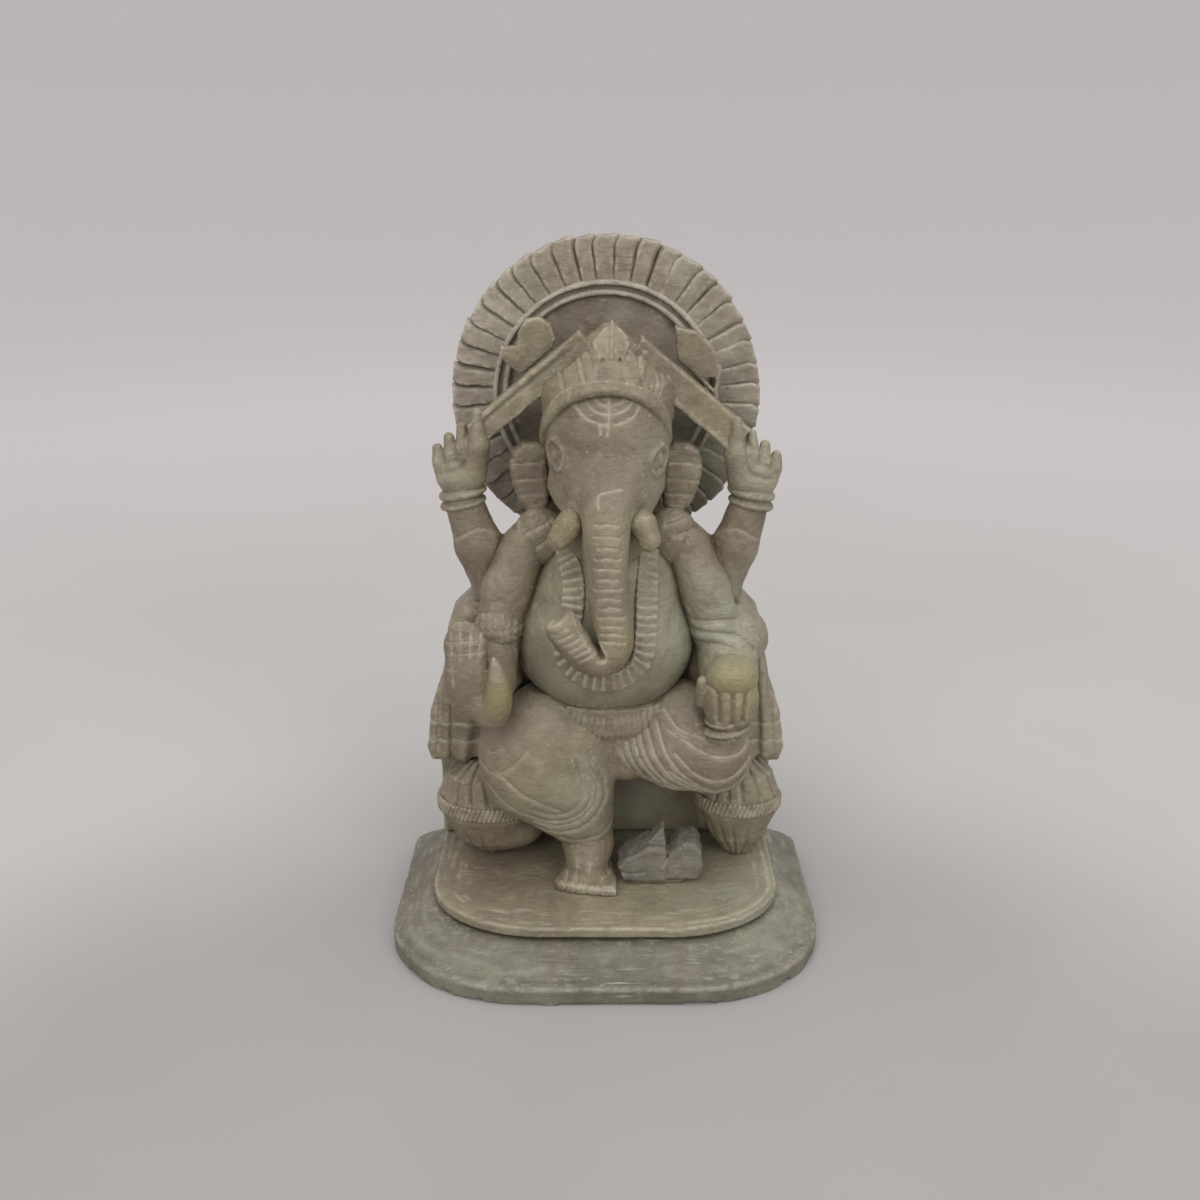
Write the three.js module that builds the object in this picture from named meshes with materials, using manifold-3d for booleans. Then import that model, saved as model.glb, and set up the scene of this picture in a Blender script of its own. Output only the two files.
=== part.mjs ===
// A seated, four-armed, elephant-headed idol carved in soapstone, with a rayed halo, a draped
// throne, a plinth on a bevelled base slab, and a small mouse at its foot.
// Lengths are millimetres. +Z is up, the idol faces -Y, and +X is its own left side.
// The origin is the middle of the base slab's underside.
import * as THREE from "three";
import { mergeVertices } from "three/addons/utils/BufferGeometryUtils.js";
import Module from "manifold-3d";

const wasm = await Module();
wasm.setup();

// Driving dimensions
const HEIGHT = 200; // base underside to halo top
const BASE_WIDTH = 126;
const BASE_DEPTH = 84;
const BASE_EDGE = 5; // upright edge below the bevel
const BASE_TOP = 10; // flat top that carries the plinth
const BOND = 1.2; // adhesive bed between the two slabs, with its seats
const PLINTH_WIDTH = 103;
const PLINTH_THICK = 3.2;
const PLINTH_FRONT = -27;
const THRONE_FRONT = 25;
const THRONE_BACK = 40;
const HALO_RADIUS = 44.5;
const HALO_HOLLOW = 31; // radius of the dish inside the rays
const HALO_FRONT = 28;
const HALO_THICK = 8;
const HALO_RAYS = 44;
const RIM_WIDTH = 3; // beaded rim between the dish and the rays
const DISH_DEPTH = 2.5; // how far the dish lies behind the rays
const GAP = 0.3; // room left where one piece is carved to fit another
const FACE_GAP = 0.32; // room left between flat faces that touch

// Worked out from the driving dimensions
const BACK = BASE_DEPTH / 2;
const PLINTH_BOTTOM = BASE_TOP + BOND;
const PLINTH_TOP = PLINTH_BOTTOM + PLINTH_THICK;
const SEAT = PLINTH_TOP + FACE_GAP; // where everything on the plinth stands
const HALO_Z = HEIGHT - HALO_RADIUS;
const HALO_BACK = HALO_FRONT + HALO_THICK;

// ---------------------------------------------------------------- solids

function solidFrom(geometry) {
  geometry.deleteAttribute("normal");
  geometry.deleteAttribute("uv");
  const merged = mergeVertices(geometry, 1e-4);
  return new wasm.Manifold(
    new wasm.Mesh({
      numProp: 3,
      vertProperties: new Float32Array(merged.attributes.position.array),
      triVerts: new Uint32Array(merged.index.array),
    }),
  );
}

function geometryFrom(solid) {
  const { vertProperties, triVerts } = solid.getMesh();
  const geometry = new THREE.BufferGeometry();
  geometry.setAttribute("position", new THREE.BufferAttribute(vertProperties, 3));
  geometry.setIndex(new THREE.BufferAttribute(triVerts, 1));
  geometry.computeVertexNormals();
  return geometry;
}

// The mirror image of a point list in the idol's middle plane.
const mirrored = (points) => points.map(([x, ...rest]) => [-x, ...rest]);
const vector = ([x, y, z]) => new THREE.Vector3(x, y, z);
const joined = (solids) => solids.reduce((whole, next) => whole.add(next));

// Each maker below returns a function of "grow", so the same shape can be cut out of a
// neighbour a little larger than it is.

function ball(centre, radii, turn = [0, 0, 0], sides = 12) {
  return (grow) => {
    const geometry = new THREE.SphereGeometry(1, sides, Math.round(sides * 0.6));
    geometry.scale(...radii.map((r) => r + grow));
    geometry.applyMatrix4(new THREE.Matrix4().makeRotationFromEuler(new THREE.Euler(...turn)));
    geometry.translate(...centre);
    return solidFrom(geometry);
  };
}

// A rounded link from a to b that tapers from radius ra to rb.
function link(a, b, ra, rb, sides, grow) {
  const [from, to] = [vector(a), vector(b)];
  const length = from.distanceTo(to);
  const arc = 2;
  const profile = [];
  for (let i = 0; i <= arc; i++) {
    const angle = (Math.PI / 2) * (i / arc - 1);
    const radius = ra + grow;
    profile.push(new THREE.Vector2(radius * Math.cos(angle), radius * Math.sin(angle)));
  }
  for (let i = 0; i <= arc; i++) {
    const angle = (Math.PI / 2) * (i / arc);
    const radius = rb + grow;
    profile.push(new THREE.Vector2(radius * Math.cos(angle), length + radius * Math.sin(angle)));
  }
  profile[0].x = 0;
  profile[profile.length - 1].x = 0;
  const geometry = new THREE.LatheGeometry(profile, sides);
  const up = new THREE.Vector3(0, 1, 0);
  const turn = new THREE.Quaternion().setFromUnitVectors(up, to.sub(from).normalize());
  geometry.applyQuaternion(turn);
  geometry.translate(...a);
  return solidFrom(geometry);
}

// A limb through several points, each with its own radius.
function limb(points, radii, sides = 9) {
  return (grow) =>
    joined(points.slice(1).map((p, i) => link(points[i], p, radii[i], radii[i + 1], sides, grow)));
}

// A turned shape about an upright axis, with its depth flattened by "flat".
function turned(axis, profile, flat, sides = 18) {
  return (grow) => {
    const last = profile.length - 1;
    const points = profile.map(([r, z], i) => {
      const lift = i === 0 ? -grow : i === last ? grow : 0;
      return new THREE.Vector2(r === 0 ? 0 : r + grow, z + lift);
    });
    const geometry = new THREE.LatheGeometry(points, sides);
    geometry.rotateX(Math.PI / 2);
    geometry.scale(1, flat, 1);
    geometry.translate(axis[0], axis[1], 0);
    return solidFrom(geometry);
  };
}

// A flat piece cut to an outline seen from the front, from y = front to y = back.
function panel(outline, front, back) {
  return (grow) => {
    const shape = new THREE.Shape(outline.map(([x, z]) => new THREE.Vector2(x, z)));
    const geometry = new THREE.ExtrudeGeometry(shape, {
      depth: back - front,
      bevelEnabled: grow > 0,
      bevelSize: grow,
      bevelThickness: grow,
      bevelSegments: 1,
    });
    geometry.rotateX(Math.PI / 2);
    geometry.translate(0, back, 0);
    return solidFrom(geometry);
  };
}

// Rings of equal point count, stacked from the lowest up and closed with flat ends.
function stack(rings) {
  const positions = [];
  const index = [];
  const count = rings[0].length;
  rings.forEach((ring) => ring.forEach((p) => positions.push(p.x, p.y, p.z)));
  for (let level = 0; level < rings.length - 1; level++) {
    for (let i = 0; i < count; i++) {
      const a = level * count + i;
      const b = level * count + ((i + 1) % count);
      index.push(a, b, b + count, a, b + count, a + count);
    }
  }
  [0, rings.length - 1].forEach((level) => {
    const centre = positions.length / 3;
    const mean = new THREE.Vector3();
    rings[level].forEach((p) => mean.addScaledVector(p, 1 / count));
    positions.push(mean.x, mean.y, mean.z);
    for (let i = 0; i < count; i++) {
      const a = level * count + i;
      const b = level * count + ((i + 1) % count);
      index.push(...(level === 0 ? [centre, b, a] : [centre, a, b]));
    }
  });
  const geometry = new THREE.BufferGeometry();
  geometry.setAttribute("position", new THREE.Float32BufferAttribute(positions, 3));
  geometry.setIndex(index);
  return solidFrom(geometry);
}

// The D-shaped plan of the slabs: a straight back and sweeping elliptical front corners.
function planOutline({ halfWidth, back, front, cornerX, cornerY, backCorner }) {
  const shape = new THREE.Shape();
  const sweep = halfWidth - cornerX;
  shape.moveTo(sweep, front);
  shape.absellipse(sweep, front + cornerY, cornerX, cornerY, -Math.PI / 2, 0, false);
  shape.lineTo(halfWidth, back - backCorner);
  shape.absarc(halfWidth - backCorner, back - backCorner, backCorner, 0, Math.PI / 2, false);
  shape.lineTo(backCorner - halfWidth, back);
  shape.absarc(backCorner - halfWidth, back - backCorner, backCorner, Math.PI / 2, Math.PI, false);
  shape.lineTo(-halfWidth, front + cornerY);
  shape.absellipse(-sweep, front + cornerY, cornerX, cornerY, Math.PI, Math.PI * 1.5, false);
  return shape;
}

function planRing(plan, z, divisions = 10) {
  const points = planOutline(plan).getPoints(divisions);
  const last = points[points.length - 1];
  if (last.distanceTo(points[0]) < 1e-6) points.pop();
  return points.map((p) => new THREE.Vector3(p.x, p.y, z));
}

// ---------------------------------------------------------------- pieces
// Pieces are listed from the front of the carving to the back. Each one is whole where it
// shows, and is carved out of every later piece that it touches.

const pieces = [];
const piece = (name, colour, ...makers) => pieces.push({ name, colour, makers });
const STONE = 0x8c8570;
const PALE = 0x969280;
const GREY = 0x85827b;
const GLUE = 0xb7ad8f;

// Both sides of the idol: +1 is its left, -1 its right.
const SIDES = [
  ["left", 1],
  ["right", -1],
];

// Crown and face
const BAND_PATH = [
  [-16.6, 7, 148],
  [-14.6, 0, 155],
  [-9, -5, 161],
  [0, -7, 163.8],
  [9, -5, 161],
  [14.6, 0, 155],
  [16.6, 7, 148],
];
piece("crown_band", STONE, limb(BAND_PATH, BAND_PATH.map(() => 1.7), 6));

const CROWN_PROFILE = [
  [0, 150],
  [17.2, 150],
  [18.6, 158],
  [17.6, 162],
  [12.6, 168.5],
  [8.4, 172.5],
  [4.5, 177],
  [0, 179],
];
piece("crown", STONE, turned([0.6, 12], CROWN_PROFILE, 0.93));

SIDES.forEach(([side, s]) => {
  const path = [
    [8.5 * s, -2, 129],
    [12.4 * s, -7, 121.5],
  ];
  piece(`tusk_${side}`, PALE, limb(path, [3.4, 3.8]));
});

const TRUNK_PATH = [
  [0, -3, 138],
  [0, -9.5, 125],
  [0.3, -12, 114.5],
  [1.2, -13.5, 104],
  [1.8, -14.5, 96.5],
  [-1, -16, 93],
  [-5.4, -17, 94.5],
  [-9.6, -17.5, 100],
  [-12, -17.5, 103.6],
];
piece("trunk", STONE, limb(TRUNK_PATH, [8.4, 7.2, 6.6, 6, 5.4, 5, 4.7, 4.5, 4.3]));

piece(
  "head",
  STONE,
  ball([0.4, 10, 146], [17, 17.5, 18]),
  ball([0.2, 4, 134], [13.6, 14, 12]),
);

SIDES.forEach(([side, s]) => {
  piece(
    `ear_${side}`,
    STONE,
    ball([22.6 * s, 15, 137], [6.2, 4.6, 10.4]),
    ball([21 * s, 12.5, 127.5], [5.4, 4.6, 6]),
    ball([18.4 * s, 9.5, 119], [7.4, 5, 8]),
  );
});

// The raised rear hands and what they hold
function bar(low, high, halfHeight, front, back) {
  const run = new THREE.Vector2(high[0] - low[0], high[1] - low[1]).normalize();
  const [nx, nz] = [-run.y * halfHeight, run.x * halfHeight];
  const outline = [
    [low[0] - nx, low[1] - nz],
    [high[0] - nx, high[1] - nz],
    [high[0] + nx, high[1] + nz],
    [low[0] + nx, low[1] + nz],
  ];
  return panel(outline, front, back);
}
piece("axe_handle", STONE, bar([-35, 148.5], [-7, 172], 2.9, 10, 18));
piece("goad_handle", STONE, bar([37.5, 146.5], [9.5, 170.5], 2.9, 10, 18));
const AXE_BLADE = [
  [-29.5, 167.5],
  [-27, 165.5],
  [-23.5, 163],
  [-15.5, 169.4],
  [-14.2, 172],
  [-15.2, 176],
  [-18.5, 178],
  [-22.5, 177],
  [-24.5, 173.5],
  [-24.8, 170.5],
  [-28.8, 170],
];
piece("axe_blade", STONE, panel(AXE_BLADE, 19.5, 24));
const GOAD_BLADE = [
  [30.5, 156.8],
  [32, 164],
  [29.5, 170],
  [25, 174.2],
  [19, 175.4],
  [20, 166.8],
];
piece("goad_blade", STONE, panel(GOAD_BLADE, 19.5, 24));

SIDES.forEach(([side, s]) => {
  const shift = s > 0 ? 0.8 : 0; // the left arm stands a little further out
  const at = (x, y, z) => [s * (x + shift), y, z];
  piece(
    `rear_hand_${side}`,
    STONE,
    ball(at(39.5, 13, 136.5), [5.6, 4.6, 5.4]),
    limb([at(37, 12, 140), at(35.2, 11, 153)], [3.4, 2.1], 7),
    limb([at(40, 13, 140), at(41, 13.5, 146.5)], [2.3, 1.7], 7),
    limb([at(42.6, 13.5, 138), at(45, 14, 144.5)], [2.3, 1.7], 7),
  );
  piece(`rear_bracelet_${side}`, STONE, ball(at(40.2, 14, 129.6), [6.5, 6, 2.2]));
  piece(`rear_forearm_${side}`, STONE, limb([at(34.5, 15, 100), at(40, 14, 127.5)], [5.6, 5.2]));
  piece(`rear_upper_arm_${side}`, STONE, limb([at(22, 17, 112), at(31.5, 16, 103)], [8, 6.6]));
});

// The front right hand is raised, palm out; the front left one holds a sweet on the knee.
piece(
  "front_hand_right",
  STONE,
  ball([-37.5, -12.5, 84], [5.8, 3.4, 8.5]),
  ball([-37.6, -12.5, 94], [5.6, 2.9, 8]),
  limb([[-30, -13, 78], [-29.6, -14, 91]], [3.4, 1.9]),
);
piece("front_forearm_right", STONE, limb([[-31, 3, 90], [-32, -7, 77.5]], [7, 6]));
piece("front_upper_arm_right", STONE, limb([[-24.5, 10, 114], [-29.5, 7, 97]], [7.4, 7.2]));
piece("armlet_right", STONE, ball([-31, 1, 92.5], [7.8, 8, 3.6], [0.5, 0, 0]));

piece("sweet", PALE, ball([35.2, -7.5, 86], [7.4, 6.6, 6]));
piece(
  "front_hand_left",
  STONE,
  ball([34.4, -7.5, 76], [8, 6.4, 5.6]),
  ...[0, 1, 2, 3].map((i) => {
    const x = 29.2 + i * 3.9;
    return limb([[x, -12.2, 73], [x, -13, 81.5]], [2.5, 2], 7);
  }),
);
piece("front_bracelet_left", STONE, ball([34, -6.5, 68.5], [7.4, 6.8, 2.6]));
piece("front_forearm_left", STONE, limb([[35, 9, 89], [34, 0, 76]], [9, 7.4]));
piece("front_upper_arm_left", STONE, limb([[25, 10, 114], [31, 8, 99]], [7.4, 7.4]));

// Body and clothes
const GARLAND_PATH = [
  [17, 2, 126],
  [14.2, -6, 116],
  [14, -9, 106],
  [14, -10.2, 96],
  [10.5, -11.2, 87.5],
  [0, -12.2, 83.6],
  [-10.5, -11.2, 87.5],
  [-13.4, -9.6, 97],
  [-12, -8.8, 108],
  [-14.4, -5.6, 117],
  [-17, 2, 126],
];
piece("garland", STONE, limb(GARLAND_PATH, GARLAND_PATH.map(() => 2.3), 6));

const BELLY_PROFILE = [
  [0, 66.5],
  [11, 68],
  [18.5, 73],
  [23.4, 80],
  [25, 88],
  [24.2, 97],
  [21, 106],
  [17, 114],
  [11, 120],
  [0, 123],
];
piece("belly", STONE, turned([0.3, 12], BELLY_PROFILE, 0.9));

const WAIST_PROFILE = [
  [0, 61],
  [19, 61],
  [23.5, 66],
  [23, 72],
  [0, 76],
];
piece("waistband", STONE, turned([1, 12], WAIST_PROFILE, 0.84));
piece("centre_pleats", STONE, limb([[3.2, 1, 62], [4.4, 0, 48]], [5.2, 4.4]));

piece(
  "foot",
  STONE,
  limb([[-5.4, 5, 21], [-6.6, -2.5, 19.6]], [5, 4.4]),
  ball([-6.8, -3, 18], [8.8, 6.6, 3]),
);
piece("shin", STONE, limb([[-17, 0, 47], [-6, 2.5, 31], [-5.6, 3.5, 24.5]], [10.6, 8, 7]));
piece("thigh_right", STONE, limb([[-10, 9, 62], [-24.5, 1, 57.5]], [11.5, 12.4]));
piece("folded_leg", STONE, limb([[10, 4, 57], [33, -1, 57.5]], [9, 10.4]));

// The mouse, from its nose on the idol's right to its rump
const MOUSE = [
  [3.6, 0],
  [27.4, 0],
  [28, 9],
  [25, 12],
  [19.4, 11],
  [17.6, 9.5],
  [16.6, 16],
  [12, 11.4],
  [5.4, 6.8],
  [3.4, 4.4],
];
const MOUSE_FOOT = SEAT + BOND;
piece(
  "mouse",
  GREY,
  panel(
    MOUSE.map(([x, z]) => [x, z + MOUSE_FOOT]),
    -5.4,
    7,
  ),
);

piece("shoulders", STONE, ball([0, 18.5, 113], [27, 9.5, 12.5]));

// Throne: gathered cushions, the cloth that hangs over them, and the slab behind
const CUSHIONS = [
  ["left", 41, 12.2],
  ["right", -35.5, 15.6],
];
CUSHIONS.forEach(([side, x, radius]) => {
  piece(`cushion_${side}`, STONE, ball([x, 14.5, 31.4], [radius, 14, 16.4]));
  piece(`cushion_band_${side}`, STONE, ball([x, 14, 33], [radius + 2, 16, 2.8], [0, 0, 0], 16));
});

const DRAPE = [
  [24, 97],
  [33, 99],
  [41, 95],
  [46, 87],
  [49.4, 74],
  [52, 60],
  [53, 50],
  [51, 46],
  [35, 46],
  [31, 60],
  [24, 74],
];
SIDES.forEach(([side, s]) => {
  const outline = s > 0 ? DRAPE : mirrored(DRAPE).reverse();
  piece(`drape_${side}`, STONE, panel(outline, 9, THRONE_FRONT + 8));
});

// Halo
function circle(radius, count, phase = 0) {
  return Array.from({ length: count }, (_, i) => {
    const angle = ((i + phase) / count) * 2 * Math.PI;
    return [radius * Math.cos(angle), HALO_Z + radius * Math.sin(angle)];
  });
}
const ROUND = 40; // sides of the halo's circles
const TOOTH = 0.9; // how far each ray steps in beside its neighbour
const CUT_PAST = 9; // how far the hole's cutter runs past both faces
const rayEdge = Array.from({ length: HALO_RAYS * 2 }, (_, i) => {
  const angle = ((Math.floor(i / 2) + (i % 2) * 0.98) / HALO_RAYS) * 2 * Math.PI + Math.PI / 2;
  const radius = HALO_RADIUS - (i % 2) * TOOTH;
  return [radius * Math.cos(angle), HALO_Z + radius * Math.sin(angle)];
});
const ringPanel = (outer, hole, front, back) => (grow) => {
  const through = panel(circle(hole - grow, ROUND), front - CUT_PAST, back + CUT_PAST);
  return panel(outer, front, back)(grow).subtract(through(0));
};
const DISH_RADIUS = HALO_HOLLOW - RIM_WIDTH;
piece(
  "halo_dish",
  STONE,
  panel(circle(DISH_RADIUS - FACE_GAP, ROUND), HALO_FRONT + DISH_DEPTH, HALO_BACK),
);
piece(
  "halo_rim",
  STONE,
  ringPanel(circle(HALO_HOLLOW - FACE_GAP, ROUND), DISH_RADIUS, HALO_FRONT - 1, HALO_BACK),
);
piece("halo_rays", STONE, ringPanel(rayEdge, HALO_HOLLOW + FACE_GAP, HALO_FRONT, HALO_BACK));

const THRONE = [
  [-52, SEAT],
  [52, SEAT],
  [52, 62],
  [47, 86],
  [40, 94],
  [24, 98],
  [20, 114],
  [12, 121],
];
const THRONE_OUTLINE = [...THRONE, ...mirrored(THRONE.slice(4)).reverse(), [-47, 86], [-52, 62]];
piece("throne_back", STONE, panel(THRONE_OUTLINE, THRONE_FRONT, THRONE_BACK));

// Slabs and their adhesive
const PLINTH_PLAN = {
  halfWidth: PLINTH_WIDTH / 2,
  back: THRONE_BACK,
  front: PLINTH_FRONT,
  cornerX: 34,
  cornerY: 25,
  backCorner: 2,
};
const BASE_PLAN = {
  halfWidth: BASE_WIDTH / 2,
  back: BACK,
  front: -BACK,
  cornerX: 40,
  cornerY: 34,
  backCorner: 7,
};
const inset = (plan, side, front, back) => ({
  ...plan,
  halfWidth: plan.halfWidth - side,
  front: plan.front + front,
  back: plan.back - back,
  cornerX: plan.cornerX - side / 2,
  cornerY: plan.cornerY - front / 2,
});
piece("plinth", STONE, () =>
  stack([
    planRing(PLINTH_PLAN, PLINTH_BOTTOM),
    planRing(PLINTH_PLAN, PLINTH_TOP - 0.8),
    planRing(inset(PLINTH_PLAN, 0.8, 0.8, 0.1), PLINTH_TOP),
  ]),
);
piece("adhesive_bed", GLUE, () =>
  stack([
    planRing(inset(PLINTH_PLAN, 3, 3, 3), BASE_TOP + FACE_GAP),
    planRing(inset(PLINTH_PLAN, 3, 3, 3), PLINTH_BOTTOM - FACE_GAP),
  ]),
);
piece("mouse_adhesive", GLUE, () =>
  stack(
    [SEAT, MOUSE_FOOT - FACE_GAP].map((z) =>
      planRing(
        { halfWidth: 9, back: 5, front: -4, cornerX: 3, cornerY: 3, backCorner: 2 },
        z,
        4,
      ).map((p) => p.add(new THREE.Vector3(15.5, 0, 0))),
    ),
  ),
);
piece("base_slab", STONE, () =>
  stack([
    planRing(BASE_PLAN, 0),
    planRing(BASE_PLAN, BASE_EDGE),
    planRing(inset(BASE_PLAN, 10, 13, 1.4), BASE_TOP),
  ]),
);

// ---------------------------------------------------------------- assembly

const touching = (a, b) => {
  const [p, q] = [a.boundingBox(), b.boundingBox()];
  return [0, 1, 2].every((i) => p.min[i] < q.max[i] && q.min[i] < p.max[i]);
};
const largest = (solid) =>
  solid.decompose().reduce((best, next) => (next.volume() > best.volume() ? next : best));

const group = new THREE.Group();
const cutters = [];
for (const { name, colour, makers } of pieces) {
  let solid = joined(makers.map((make) => make(0)));
  for (const cutter of cutters) {
    if (touching(solid, cutter)) solid = solid.subtract(cutter);
  }
  const mesh = new THREE.Mesh(
    geometryFrom(largest(solid)),
    new THREE.MeshStandardMaterial({ color: colour, roughness: 0.62, metalness: 0 }),
  );
  mesh.name = name;
  group.add(mesh);
  cutters.push(joined(makers.map((make) => make(GAP))));
}

export default group;
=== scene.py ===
# %% [markdown]
# # A soapstone idol, carved in Blender
# The real object is cut from soft grey-green stone with rasps, saws and a point. This lesson carves it
# the same way: every part starts as a small block of voxels, shapes are added to it and cut from it,
# lines are scored into its face, and only then does it become a mesh. The parts that simply repeat, the
# halo's rays, the garland's ribs and the twisted cushion bands, are made with Geometry Nodes.

import math

import bpy
import numpy as np
import openvdb
from mathutils import Euler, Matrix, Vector


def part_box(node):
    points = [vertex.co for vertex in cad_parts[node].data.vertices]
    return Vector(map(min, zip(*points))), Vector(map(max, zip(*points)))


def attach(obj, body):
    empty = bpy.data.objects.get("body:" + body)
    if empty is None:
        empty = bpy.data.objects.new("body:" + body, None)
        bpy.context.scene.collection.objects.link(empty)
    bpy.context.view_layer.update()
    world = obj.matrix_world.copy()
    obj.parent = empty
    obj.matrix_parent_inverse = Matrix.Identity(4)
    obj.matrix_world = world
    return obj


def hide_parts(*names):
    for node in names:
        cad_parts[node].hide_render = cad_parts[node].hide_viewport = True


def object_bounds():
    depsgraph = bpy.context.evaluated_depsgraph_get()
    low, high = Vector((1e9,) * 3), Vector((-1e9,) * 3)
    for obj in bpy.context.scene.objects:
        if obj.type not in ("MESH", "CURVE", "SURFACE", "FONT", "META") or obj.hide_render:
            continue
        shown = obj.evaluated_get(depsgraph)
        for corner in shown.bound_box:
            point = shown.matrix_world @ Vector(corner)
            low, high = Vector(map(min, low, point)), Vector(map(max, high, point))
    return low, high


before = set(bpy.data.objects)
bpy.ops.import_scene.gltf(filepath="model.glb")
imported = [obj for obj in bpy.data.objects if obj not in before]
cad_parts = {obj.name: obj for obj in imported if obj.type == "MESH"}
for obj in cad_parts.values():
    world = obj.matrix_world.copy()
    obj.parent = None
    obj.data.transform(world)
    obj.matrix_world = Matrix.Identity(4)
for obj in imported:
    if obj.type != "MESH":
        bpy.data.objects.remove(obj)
cad_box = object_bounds()
MM = 0.001  # this lesson thinks in millimetres, and Blender in metres
VOXEL = 0.4
print("frame:", len(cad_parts), "nodes, box", cad_box)

# %% [markdown]
# ## The camera and the light
# The camera looks slightly down on the idol from in front. The floor is one wide dish with a raised
# rim, so that it fills the picture from every side. One large soft light hangs over it, two stand in
# front, and a weak one fills in from behind.

# %% Camera
CAMERA_PLACE = (-0.0016, -0.314, 0.2178)
CAMERA_TILT = math.radians(70)
camera_data = bpy.data.cameras.new("camera")
camera_data.lens = 36
camera_data.sensor_width = 36
camera_data.clip_start = 0.01
camera = bpy.data.objects.new("camera", camera_data)
camera.location = CAMERA_PLACE
camera.rotation_euler = (CAMERA_TILT, 0, 0)
bpy.context.scene.collection.objects.link(camera)
bpy.context.scene.camera = camera
print("camera:", CAMERA_PLACE, "lens", camera_data.lens, "mm")


# %% Mesh and light helpers
def link_mesh(name, points, faces):
    """A new mesh object from points in millimetres."""
    mesh = bpy.data.meshes.new(name)
    mesh.from_pydata([tuple(c * MM for c in p) for p in points], [], faces)
    mesh.update()
    made = bpy.data.objects.new(name, mesh)
    bpy.context.scene.collection.objects.link(made)
    return made


def softbox(name, place, size, watts, colour, target=(0, 0, 0.09)):
    """A soft rectangular light that looks at the target, all in metres."""
    data = bpy.data.lights.new(name, "AREA")
    data.shape = "RECTANGLE"
    data.size, data.size_y = size
    data.energy = watts
    data.color = colour
    lamp = bpy.data.objects.new(name, data)
    lamp.location = place
    aim = Vector(target) - Vector(place)
    lamp.rotation_euler = aim.to_track_quat("-Z", "Y").to_euler()
    bpy.context.scene.collection.objects.link(lamp)


# %% Floor dish
RIM_SIDES = 96
# radius, height
DISH_PROFILE = [(0, 0), (900, 0), (1200, 12), (1500, 60), (1800, 170), (2050, 350), (2200, 620), (2280, 1000)]
dish_points = [(0, 0, 0)]
dish_faces = []
for radius, height in DISH_PROFILE[1:]:
    for side in range(RIM_SIDES):
        angle = 2 * math.pi * side / RIM_SIDES
        dish_points.append((radius * math.cos(angle), radius * math.sin(angle), height))
for side in range(RIM_SIDES):
    after = (side + 1) % RIM_SIDES
    dish_faces.append((0, 1 + side, 1 + after))
    for ring in range(len(DISH_PROFILE) - 2):
        low, high = 1 + ring * RIM_SIDES, 1 + (ring + 1) * RIM_SIDES
        dish_faces.append((low + side, high + side, high + after, low + after))
floor = link_mesh("floor", dish_points, dish_faces)
floor.data.shade_smooth()
print("floor:", len(dish_faces), "faces")

# %% Lights
softbox("overhead", (0.0, -0.25, 1.0), (0.9, 0.8), 4.0, (1.0, 0.985, 0.965))
softbox("front_left", (-0.55, -1.15, 0.75), (0.7, 0.6), 3.8, (1.0, 0.98, 0.96))
softbox("front_right", (0.7, -1.0, 0.65), (0.7, 0.6), 4.0, (0.97, 0.985, 1.0))
softbox("back_fill", (0.0, 0.9, 0.9), (0.8, 0.6), 0.6, (1.0, 0.99, 0.98))

world = bpy.data.worlds.new("room")
world.use_nodes = True
sky = world.node_tree.nodes["Background"].inputs
sky["Color"].default_value = (0.80, 0.79, 0.80, 1)
sky["Strength"].default_value = 0.92
bpy.context.scene.world = world
bpy.context.scene.view_settings.view_transform = "Standard"
print("lights:", [lamp.name for lamp in bpy.data.lights])

# %% [markdown]
# ## Shader arithmetic
# A stone's colour comes from several masks added and multiplied together. Writing that sum in Python
# reads better than wiring thirty Math nodes, so a small class wraps a socket and lets +, - and * add
# the nodes.

# %% Values and recipes
class Value:
    """A number or a colour that varies over a surface."""

    def __init__(self, recipe, socket):
        self.recipe, self.socket = recipe, socket

    def maths(self, operation, first, second):
        return self.recipe.node("ShaderNodeMath", {"operation": operation}, {0: first, 1: second})

    def __add__(self, other):
        return self.maths("ADD", self, other)

    def __sub__(self, other):
        return self.maths("SUBTRACT", self, other)

    def __rsub__(self, other):
        return self.maths("SUBTRACT", other, self)

    def __mul__(self, other):
        return self.maths("MULTIPLY", self, other)

    __radd__ = __add__
    __rmul__ = __mul__


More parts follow.
